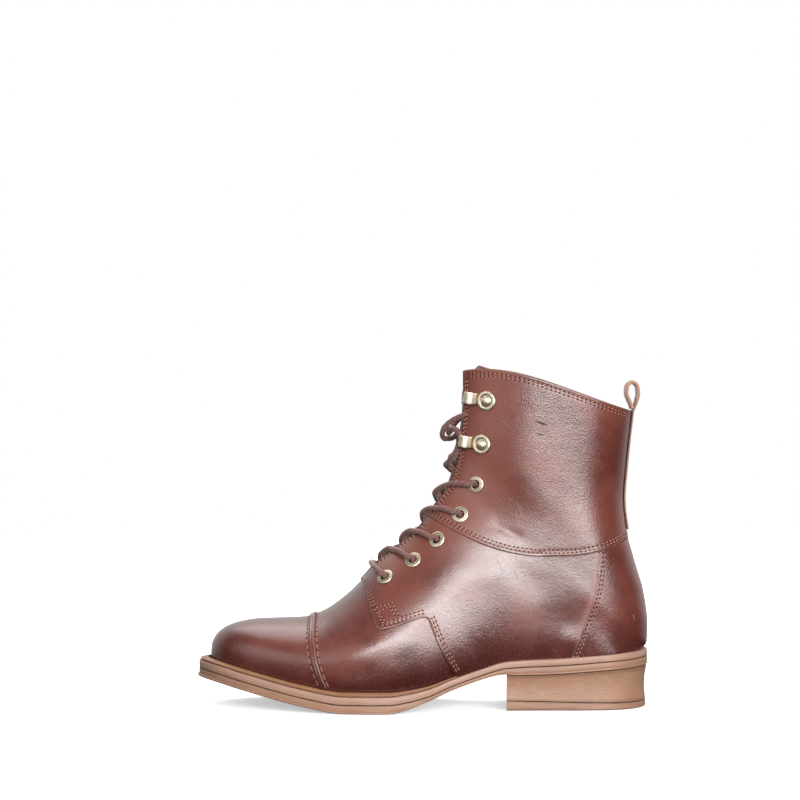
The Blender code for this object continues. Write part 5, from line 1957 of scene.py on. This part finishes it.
@dataclass
class Fittings:
    """Eyelets, lace hooks and the hooks' rivets, of antique brass."""

    sides: int = 56
    plate: float = 0.9
    eyelet: tuple[Turned, ...] = rows_of(
        Turned, (2.5, -2.2), (2.5, -0.8), (2.55, 0.3), (2.68, 0.7), (2.95, 0.9), (3.25, 0.88), (3.5, 0.8),
        (4.4, 0.76), (4.8, 0.68), (5.05, 0.44), (5.15, 0.15), (5.1, 0.0), (2.8, 0.0), (2.75, -2.2))
    eyelet_hollow: tuple[float, ...] = (
        1.0, 1.0, 0.9, 0.4, 0.1, 0.35, 0.6, 0.4, 0.1, 0.2, 0.7, 1.0, 1.0, 1.0)
    rivet: tuple[Turned, ...] = rows_of(
        Turned, (3.1, 0.0), (3.1, 0.12), (2.95, 0.5), (2.6, 0.98), (2.1, 1.4), (1.5, 1.7), (0.8, 1.87),
        (0.01, 1.92))
    rivet_hollow: tuple[float, ...] = (1.0, 1.0, 0.55, 0.15, 0.0, 0.0, 0.0, 0.0)
    hook: tuple[Plate, ...] = rows_of(
        Plate, (-6.1, 0.45, 0.6), (-5.8, 0.45, 1.9), (-5.2, 0.45, 3.2), (-4.0, 0.45, 4.6),
        (-2.0, 0.45, 5.76), (0.0, 0.45, 6.1), (2.0, 0.45, 5.76), (4.0, 0.45, 4.6), (5.0, 0.45, 3.75),
        (6.6, 0.5, 3.7), (7.8, 1.5, 3.7), (9.0, 3.4, 3.7), (10.6, 4.5, 3.7), (12.3, 4.3, 3.7),
        (13.9, 3.1, 3.6), (14.9, 1.5, 3.3))
    boss: float = 0.5
    dish: float = 3.6
    dish_deep: float = 0.3
    dish_wide: float = 0.4
    boss_edge: tuple[float, float] = (5.5, 6.05)
    tarnish_wide: float = 0.35
    # Painted shadow on the neck, where the plate goes under the disc, and painted shade on the tip that curls
    # away
    neck_from: tuple[float, float] = (5.7, 6.2)
    neck_to: tuple[float, float] = (7.0, 9.4)
    tip_from: tuple[float, float] = (12.2, 14.4)
    tip_tarnish: float = 0.8
    seat: float = 0.02
    rivet_seat: float = 0.25

    def turned(self, outline: tuple[Turned, ...], hollow: tuple[float, ...], at: FittingFrame,
               node: str) -> None:
        """A piece turned round its frame's Z axis.

        Args:
            outline: radius and height of each ring.
            hollow: how deep in tarnish each ring is.
            at: where it sits.
            node: the solid that it stands for.
        """
        angle = np.linspace(0.0, 2 * HALF_TURN, self.sides, endpoint=False)
        radius, high = column(outline, "radius")[:, None], column(outline, "high")[:, None]
        local = np.stack([radius * np.cos(angle), radius * np.sin(angle), np.broadcast_to(
            high, (len(outline), self.sides))], axis=-1)
        grids = Grids()
        grids.add(local @ at.axes + at.origin, closed=True, hollow=np.array(hollow)[:, None])
        foot = local[[0, -1]] if node.startswith("eyelet") else np.stack([local[0], local[0] * 0.01])
        grids.add(foot @ at.axes + at.origin, closed=True, hollow=1.0)
        place_piece(node + "_brass", grids.mesh(node), [BRASS], [node])

    def hook_piece(self, at: FittingFrame, node: str) -> None:
        """A hook's plate: a flat section with rounded edges along its bend, with a dished disc.

        Args:
            at: where it sits.
            node: the solid that it stands for.
        """
        bend = lengths(np.array(self.hook)[:, :2])
        run = np.concatenate([np.linspace(0.0, 1.2, 8)[:-1], np.linspace(1.2, bend[-1], 110)])
        along, high, half = (smooth(bend, column(self.hook, name), run) for name in Plate._fields)
        slope = unit(np.stack([np.gradient(along), np.gradient(high)], axis=-1))
        share = np.linspace(-1.0, 1.0, 33)
        sheets, marks = [], []
        for level in (0.5, -0.5):
            thick = level * self.plate * np.sqrt(1 - np.abs(share) ** 10)
            radius = np.hypot(along[:, None], half[:, None] * share)
            boss = self.boss * (1 - fade(radius, *self.boss_edge)) * (level > 0)
            groove = self.dish_deep * np.exp(-(((radius - self.dish) / self.dish_wide) ** 2)) * (level > 0)
            shift = np.broadcast_to(thick, radius.shape) + boss - groove
            x = along[:, None] - slope[:, 1:] * shift
            z = high[:, None] + slope[:, :1] * shift
            sheets.append(np.stack([x, half[:, None] * share, z], axis=-1))
            # The hollow mark: tarnish in the dish's groove, painted shadow on the neck and painted shade on
            # the curled tip
            ring = np.exp(-(((radius - self.dish) / self.tarnish_wide) ** 2))
            neck = fade(radius, *self.neck_from) * (1 - fade(along[:, None], *self.neck_to))
            tip = self.tip_tarnish * fade(along[:, None], *self.tip_from)
            marks.append(np.clip(ring + neck + tip, 0.0, 1.0) * np.ones_like(x))
        grids = Grids()
        placed = [sheet @ at.axes + at.origin for sheet in sheets]
        grids.add_plate(placed, {"hollow": 0.5}, hollow=around(marks))
        place_piece(node + "_brass", grids.mesh(node), [BRASS], [node])

    def build(self) -> None:
        """All fittings, on both sides."""
        for side in Side:
            word = side.name.lower()
            for number, at in enumerate(EYELETS, 1):
                panel = Leather.QUARTER if number <= EYELETS_ON_QUARTER else Leather.SHAFT
                where = fitting_frame(at, side, GAP + panel.value + self.seat)
                self.turned(self.eyelet, self.eyelet_hollow, where, f"eyelet_{word}_{number}")
            for number, at in enumerate(HOOKS, 1):
                plate_lift = GAP + Leather.SHAFT.value + self.seat
                rivet_lift = plate_lift + self.plate + self.rivet_seat
                self.hook_piece(fitting_frame(at, side, plate_lift), f"hook_{word}_{number}")
                self.turned(self.rivet, self.rivet_hollow, fitting_frame(at, side, rivet_lift),
                            f"hook_rivet_{word}_{number}")


@dataclass
class Lacing:
    """The lace: a straight bar, crossings that run through the eyelets, and the half knot."""

    radius: float = 1.7
    lobes: int = 3
    groove: float = 0.12
    twist: float = 12.0
    sides: int = 36
    spacing: float = 0.5
    under_wall: float = -4.0
    bar_u: float = 10.74
    crossing_u: tuple[float, ...] = (11.27, 12.3, 13.62, 15.0, 17.7)
    over_tongue: dict[Side, float] = field(default_factory=lambda: {Side.LATERAL: 2.2, Side.MEDIAL: -0.4})
    bow: float = 3.4
    climb: float = 0.28
    strand_shares: tuple[float, ...] = (0.28, 0.52, 0.72, 0.86)
    strand_rises: tuple[float, ...] = (1.0, 0.9, 0.55, 0.2)
    hole_ahead: tuple[float, ...] = (0.045, 0.022, 0.012)
    slant: float = 0.9

    def tube(self, route: Array) -> tuple[Array, Array, Array]:
        """The lace along a route: a round section with three lobes that turn along the way.

        Args:
            route: points of the route.

        Returns:
            The middle line, the grid of points, and how deep each point is in a groove.
        """
        count = max(int(lengths(route)[-1] / self.spacing), 8)
        path = curve_through(route, count)
        along = unit(np.gradient(path, axis=0))
        across = np.zeros_like(along)
        last = np.cross(along[0], [0.3, 0.2, 1.0])
        for i, ahead in enumerate(along):
            last = unit(last - ahead * last.dot(ahead))
            across[i] = last
        other = np.cross(along, across)
        angle = np.linspace(0.0, 2 * HALF_TURN, self.sides, endpoint=False)
        phase = angle + (lengths(path) * 2 * HALF_TURN / self.twist)[:, None]
        groove = 1 - np.abs(np.cos(self.lobes * phase / 2)) ** 0.7
        radius = self.radius * (1 - self.groove * groove)
        ring = across[:, None] * np.cos(angle)[:, None] + other[:, None] * np.sin(angle)[:, None]
        return path, path[:, None] + ring * radius[..., None], groove

    def cord(self, name: str, routes: list[Array], nodes: list[str]) -> tuple[Object, Array]:
        """A piece of lace along one or more routes.

        Args:
            name: the piece's name.
            routes: the points of each strand.
            nodes: the solids that it stands for.

        Returns:
            The piece and the last strand's middle line.
        """
        grids = Grids()
        for route in routes:
            path, points, groove = self.tube(np.asarray(route, float))
            run = lengths(path)[:, None]
            slanted = np.linspace(0.0, 2 * HALF_TURN * self.radius, self.sides) + run * self.slant
            # The groove depth is the hollow mark, which the yarn finish turns into painted shade
            grids.add(points, closed=True, chart=(run, slanted), hollow=groove)
            for ring, middle in ((points[0], path[0]), (points[-1], path[-1])):
                cap = np.stack([ring, middle + (ring - middle) * 0.02])
                grids.add(cap, closed=True, hollow=0.3)
        piece = place_piece(name, grids.mesh(name), [YARN], nodes, sharp=80.0)
        return piece, path

    def build(self) -> None:
        """The bar, the crossings and the knot."""
        self.build_bar()
        for number in range(1, len(EYELETS) + 1):
            routes = [self.crossing_route(number, side) for side in Side]
            self.cord(f"lace_crossing_{number}", routes, [f"lace_cross_{number}"])
        for name, table in (("outer", KNOT_OUTER), ("inner", KNOT_INNER)):
            piece, path = self.cord(f"lace_knot_{name}_yarn", [np.array(table)], [f"lace_knot_{name}"])

    def panel_top(self, level: int) -> float:
        """Height of the panel's face at a level of eyelets."""
        return GAP + (Leather.QUARTER if level < EYELETS_ON_QUARTER else Leather.SHAFT).value

    def from_ridge(self, ridge_u: float, to: Place, side: Side, top: float, over: float,
                   bow: float = 0.0) -> list[Array]:
        """A strand from the ridge to a hole, over the facing's edge.

        Args:
            ridge_u: where it leaves the ridge.
            to: the hole's place.
            side: the side of the boot.
            top: height of the panel's face.
            over: the strand's height on the ridge.
            bow: how far it arches upwards from a straight line in the side view.

        Returns:
            Points after the ridge, up to the eyelet's rim.
        """
        start = FAN.outline(np.array(ridge_u), np.array(0.0))
        on_panel = top + self.radius
        lifts = np.array((over + 0.5, on_panel + 0.1, on_panel + 0.3, on_panel + 0.2))
        places = start + (np.array(to) - start) * np.array(self.strand_shares)[:, None]
        places[:, 1] += bow * np.array(self.strand_rises)
        u, turn = FAN.locate(places)
        return list(FAN.point(u, side * turn, lifts))

    def down_hole(self, at: Place, side: Side, top: float) -> list[Array]:
        """The end of a strand: down through its hole."""
        (u, turn), lifts = FAN.locate_one(at), (top + 1.0, top - 0.8, self.under_wall)
        return [FAN.point(u, side * (turn - ahead), lift) for ahead, lift in zip(self.hole_ahead, lifts)]

    def build_bar(self) -> None:
        """The straight bar over the throat's foot, from hole to hole."""
        top, over = self.panel_top(0), 2.6
        halves = []
        for side in Side:
            strand = self.from_ridge(self.bar_u, EYELETS[0], side, top, over)
            halves.append([*strand, *self.down_hole(EYELETS[0], side, top)])
        middle = FAN.point(self.bar_u, 0.0, over)
        self.cord("lace_bar", [np.array([*halves[0][::-1], middle, *halves[1]])], ["lace_bar_1"])

    def crossing_route(self, number: int, side: Side) -> Array:
        """A strand from the hole below, out of the throat, over the tongue, and into the hole or hook above.

        Args:
            number: the crossing's number, from the foot.
            side: the side that it goes to.

        Returns:
            The points of its route.
        """
        hooked = number == len(EYELETS)
        to = UNDER_HOOK if hooked else EYELETS[number]
        top, over, ridge_u = self.panel_top(number), self.over_tongue[side], self.crossing_u[number - 1]
        low_u, low_turn = FAN.locate_one(EYELETS[number - 1])
        start_u = ridge_u - self.climb
        edge = float(FAN.throat_turn(start_u))
        places = [
            (low_u, -side * low_turn, self.under_wall),
            ((low_u + start_u) / 2, -side * (edge + low_turn) / 2, self.under_wall),
            (start_u, -side * edge * 0.95, -2.2),
            (start_u + self.climb / 2, -side * edge * 0.5, over - 0.9),
            (ridge_u, 0.0, over),
        ]
        bow = 0.0 if hooked else self.bow
        route = [FAN.point(*at) for at in places] + self.from_ridge(ridge_u, to, side, top, over, bow)
        if not hooked:
            return np.array([*route, *self.down_hole(to, side, top)])
        u, turn = FAN.locate_one(IN_HOOK)
        knot = KNOT_OUTER if side == Side.LATERAL else KNOT_INNER
        route.append(FAN.point(u, side * turn, top + self.radius + 0.1))
        return np.array([*route, np.array(knot[0])])


class StitchRow(NamedTuple):
    """A row of stitches along a trail: height over the upper, pitch, thread's half width, and its shift.

    The shift is the way that the row lies from the edge, to the right or the left, and how much further."""

    name: str
    trail: Trail
    lift: float
    pitch: float
    half: float
    way: int = 1
    further: float = 0.0


@dataclass
class Stitching:
    """Rows of stitches along the panels' edges: raised threads between dark discs of painted shade in the
    holes.
    """

    first: float = 2.2
    second: float = 3.9
    hole: float = 0.6
    collar_pitch: float = 2.8
    seam_pitch: float = 2.7
    strip_pitch: float = 4.6
    strip_off: float = 2.9

    def thread_shape(self, pitch: float, half: float) -> Pair:
        """A thread between two holes: a round section that thins to both ends.

        Args:
            pitch: from hole to hole.
            half: half its width.

        Returns:
            Its points and quads.
        """
        stations = np.array([-1.0, -0.72, 0.0, 0.72, 1.0])
        thick = np.array([0.25, 0.8, 1.0, 0.8, 0.25])
        angle = np.linspace(0.0, 2 * HALF_TURN, 6, endpoint=False)
        reach = (pitch - self.hole) / 2
        along = np.broadcast_to(stations[:, None] * reach, (5, 6))
        across = half * thick[:, None] * np.cos(angle)
        high = half * 0.75 * thick[:, None] * np.sin(angle) + 0.12 * (thick[:, None] - 0.6)
        points = np.stack([along, across, high], axis=-1).reshape(-1, 3)
        ends = np.array([[0, 1, 2, 3], [0, 3, 4, 5], [27, 26, 25, 24], [29, 28, 27, 24]])
        return points, np.vstack([quads_of(5, 6, True).reshape(-1, 4), ends])

    def hole_shape(self) -> Pair:
        """A hole's mouth in painted shade: a low flat dark disc of eight sides.

        Returns:
            Its points and quads.
        """
        angle = np.linspace(0.0, 2 * HALF_TURN, 8, endpoint=False)
        rim = np.column_stack([self.hole * np.cos(angle), self.hole * np.sin(angle), np.full(8, 0.05)])
        foot = rim * [1.0, 1.0, -2.0]
        corner = np.arange(8)
        after = (corner + 1) % 8
        walls = np.column_stack([corner + 8, after + 8, after, corner])
        caps = np.array([[0, 1, 2, 3], [0, 3, 4, 7], [4, 5, 6, 7], [11, 10, 9, 8], [15, 12, 11, 8],
                         [15, 14, 13, 12]])
        return np.vstack([rim, foot]), np.vstack([walls, caps])

    def sew(self, grids: Grids, row: StitchRow, side: Side) -> None:
        """Adds one row's threads and holes on one side.

        Args:
            grids: what they are added to.
            row: the row.
            side: the side of the boot.
        """
        count = max(int(lengths(row.trail.on(side, row.lift))[-1] / row.pitch), 2)
        trail = row.trail.spaced(2 * count + 1)
        points = trail.on(side, row.lift)
        along = unit(np.gradient(points, axis=0))
        out = FAN.normal(trail.u, side * trail.turn)
        frames = np.stack([along, unit(np.cross(out, along)), out], axis=1)
        grids.copies(self.thread_shape(row.pitch, row.half), frames[1::2], points[1::2])
        grids.copies(self.hole_shape(), frames[::2], points[::2], finish=1)

    def rows(self) -> list[StitchRow]:
        """Every row, by the edge that it follows.

        Returns:
            The rows, in the order of their pieces.
        """
        quarter, shaft, counter = (GAP + panel.value - 0.02 for panel in
                                   (Leather.QUARTER, Leather.SHAFT, Leather.COUNTER))
        collar_turn = np.linspace(float(FAN.throat_turn(COLLAR)) + 0.12, 3.0, 120)
        collar = Trail(np.full(120, COLLAR - 0.001), collar_turn)
        seam = SeamLines.shaft_edge(SEAM_GAP / 2, np.linspace(0.035, 0.94, 160))
        seam_u = float(SeamLines.shaft_edge(0.0, np.zeros(1)).u[0])
        shaft_facing = SeamLines.facing(seam_u + 0.35, COLLAR - 0.5, 120)
        quarter_facing = SeamLines.facing(11.0, seam_u - 0.5, 60)
        counter_edge = SeamLines.counter_edge(SEAM_GAP / 2, 60)
        front = SeamLines.quarter_front(200)
        x, z = FAN.outline(front.u, front.turn)
        upper_front = front.where((z > 61.0) & (z < 74.5))
        tab_under = front.where((x > -25.5) & (x < 0.6) & (z < 60))
        step_down = front.where((x > 3.4) & (z > 23.0))
        edges = (
            StitchRow("collar", collar, shaft, self.collar_pitch, 0.34, 1, 0.4),
            StitchRow("shaft_seam", seam, shaft, self.seam_pitch, 0.34, -1),
            StitchRow("shaft_facing", shaft_facing, shaft, 2.5, 0.32, 1, -0.3),
            StitchRow("quarter_facing", quarter_facing, quarter, 2.5, 0.3, 1, -0.4),
            StitchRow("counter", counter_edge, counter, self.seam_pitch, 0.32, 1, -0.2),
            StitchRow("quarter_front", upper_front, quarter, 2.6, 0.3, -1, 0.4),
            StitchRow("tab", tab_under, quarter, 2.6, 0.34, -1),
            StitchRow("step", step_down, quarter, 2.6, 0.34, -1, 0.3),
        )
        rows = []
        for number, off in enumerate((self.first, self.second)):
            for row in edges:
                trail = row.trail.shifted(row.way * off + row.further)
                rows.append(row._replace(name=f"{row.name}_{number}", trail=trail))
            rows.append(StitchRow(f"box_{number}", self.box(number), quarter, 2.4, 0.34))
        turns = np.linspace(0.0, FAN.locate_one(TOE_STRIP[0])[1] - 0.04, 120)
        for number, offset in enumerate((-self.strip_off, self.strip_off)):
            trail = SeamLines.toe_strip(offset, turns)
            rows.append(StitchRow(f"toe_strip_{number}", trail, 0.02, self.strip_pitch, 0.32))
        return rows

    @staticmethod
    def box(number: int) -> Trail:
        """One of the two rows of the box on the quarter's tab: up its front, over, and down its back.

        Args:
            number: 0 for the outer row and 1 for the inner.

        Returns:
            The trail.
        """
        inset = 2.0 * number
        corners = [(-24.0 + inset, 54.0), (-28.2 + inset, 61.0 - inset), (-17.4 - inset, 64.6 - inset),
                   (-14.4 - inset, 57.6)]
        return Trail(*FAN.locate(curve_through(corners, 60, straight=True)))

    def build(self) -> None:
        """Each row on both sides, as one piece."""
        for row in self.rows():
            grids = Grids()
            for side in Side:
                self.sew(grids, row, side)
            mesh = grids.mesh("stitches_" + row.name)
            place_piece("stitches_" + row.name, mesh, [THREAD, HOLE_SHADE], [])


@dataclass
class Scuffs:
    """Small marks of wear on the outer side."""

    lift: float = 0.03

    def build(self) -> None:
        """Each mark is a thin lens on the leather, wide in the middle and pointed at both ends."""
        grids = Grids()
        for scuff in SCUFFS:
            line = np.linspace(scuff.start, scuff.end, 24)
            trail = Trail(*FAN.locate(line))
            x, z = FAN.outline(trail.u, trail.turn)
            on_shaft = z > SeamLines.shaft_seam_z(x)
            behind = x > SeamLines.counter_seam_x(z)
            thick = np.where(on_shaft, Leather.SHAFT.value, np.where(behind, Leather.COUNTER.value, 1.0))
            share = np.linspace(-1.0, 1.0, 24)
            half = scuff.wide / 2 * np.sqrt(1 - share**2) * (0.7 + 0.3 * np.sin(17 * share))
            middle = FAN.point(trail.u, Side.LATERAL * trail.turn, GAP + thick + self.lift)
            out = FAN.normal(trail.u, Side.LATERAL * trail.turn)
            side = unit(np.cross(out, np.gradient(middle, axis=0)))
            across = np.linspace(-1.0, 1.0, 5)[:, None]
            top = middle[:, None] + side[:, None] * half[:, None, None] * across
            low = top - out[:, None] * 2 * self.lift
            rings = np.concatenate([top, low[:, ::-1]], axis=1)
            grids.add(rings, closed=True, finish=int(not scuff.pale))
        place_piece("scuffs", grids.mesh("scuffs"), [PALE_SCUFF, DARK_SCUFF], [])


class Softbox(NamedTuple):
    """A square studio light: place and aim in metres, size, and power."""

    name: str
    place: tuple[float, float, float]
    aim: tuple[float, float, float]
    wide: float
    tall: float
    power: float


@dataclass
class Studio:
    """Camera, lights, and a plain pale floor."""

    camera: tuple[float, float, float] = (-0.0134, -1.5, 0.186)
    lens: float = 110.4
    sensor: float = 36.0
    floor_wide: float = 3.8
    floor_glow: tuple[float, float] = (0.12, 0.7)
    floor_near: float = 0.45
    floor_colour: Colour = (0.86, 0.86, 0.86)
    low_glow: float = 0.03
    high_glow: float = 0.2
    back_glow: float = 1.2
    lights: tuple[Softbox, ...] = (
        Softbox("front box", (0.66, -2.2, 0.68), (0.02, 0.0, 0.10), 2.4, 1.16, 132.0),
        Softbox("left box", (-1.9, -1.5, 0.9), (0.0, 0.0, 0.10), 1.8, 1.6, 15.0),
        Softbox("top box", (0.0, 0.7, 1.7), (0.0, 0.0, 0.0), 1.8, 1.6, 26.0),
    )

    def build(self) -> None:
        """The whole studio."""
        self.build_camera()
        self.build_floor()
        self.build_lights()
        self.build_world()
        bpy.context.scene.view_settings.view_transform = "Standard"

    def build_camera(self) -> None:
        """The camera at the photograph's angle, looking along +Y."""
        data = bpy.data.cameras.new("camera")
        data.lens, data.sensor_width = self.lens, self.sensor
        camera = new_object("camera", data)
        camera.location = self.camera
        camera.rotation_euler = (HALF_TURN / 2, 0.0, 0.0)
        bpy.context.scene.camera = camera

    def build_floor(self) -> None:
        """A square of paper that glossy leather doesn't mirror."""
        half = self.floor_wide / 2 / MM
        grids = Grids()
        across = np.linspace(-half, half, 5)
        x, y = np.meshgrid(across, across, indexing="ij")
        grids.add(np.stack([x, y, np.full_like(x, -0.2)], axis=-1))
        mesh = grids.mesh("floor", np.broadcast_to([0.0, 0.0, 1.0], (25, 3)))
        floor = new_object("floor", mesh)
        paper = Nodes("floor paper")
        away = paper.add("ShaderNodeVectorMath", {0: paper.place()}, "Value", operation="LENGTH")
        glow = paper.ramp(away, *self.floor_glow, self.floor_near)
        mesh.materials.append(paper.finish(Base_Color=self.floor_colour, Roughness=0.9,
                                           Emission_Color=(1.0, 1.0, 1.0), Emission_Strength=glow))
        floor.visible_glossy = floor.visible_diffuse = False

    def build_lights(self) -> None:
        """The softboxes."""
        for box in self.lights:
            data = bpy.data.lights.new(box.name, "AREA")
            data.shape, data.size, data.size_y, data.energy = "RECTANGLE", box.wide, box.tall, box.power
            light = new_object(box.name, data)
            aim = light.location.copy()
            aim.xyz = np.array(box.aim) - np.array(box.place)
            light.location = box.place
            light.rotation_euler = aim.to_track_quat("-Z", "Y").to_euler()

    def build_world(self) -> None:
        """White where the camera looks; on the boot, a soft sky that is dim below the horizon."""
        world = bpy.data.worlds.new("studio")
        bpy.context.scene.world = world
        world.use_nodes = True
        world.node_tree.nodes.clear()
        nodes = Nodes(world.node_tree)
        direction = nodes.add("ShaderNodeTexCoord", {}, "Generated")
        split = nodes.add("ShaderNodeSeparateXYZ", {0: direction}, "Y")
        back = nodes.ramp(split, 0.05, 0.75, 0.0, self.back_glow)
        up = nodes.ramp(split.node.outputs["Z"], -0.1, 0.7, self.low_glow, self.high_glow)
        level = nodes.ramp(split.node.outputs["Z"], -0.25, 0.0)
        glow = nodes.maths("ADD", up, nodes.maths("MULTIPLY", back, level))
        sky = nodes.add("ShaderNodeBackground", {"Strength": glow})
        seen = nodes.add("ShaderNodeBackground", {"Color": (1.0, 1.0, 1.0)})
        camera_ray = nodes.add("ShaderNodeLightPath", {}, "Is Camera Ray")
        both = nodes.add("ShaderNodeMixShader", {0: camera_ray, 1: sky, 2: seen})
        nodes.add("ShaderNodeOutputWorld", {"Surface": both}, None)


def main() -> None:
    """Builds the studio and the boot's sub-assemblies in order."""
    logging.basicConfig(level=logging.INFO, format="%(name)s %(message)s")
    Studio().build()
    Lacing().build()
    for assembly in (Upper(), Panels(), Tongue(), PullLoop(), SoleUnit(), Fittings(), Stitching(), Scuffs()):
        assembly.build()


if __name__ == "__main__":
    main()
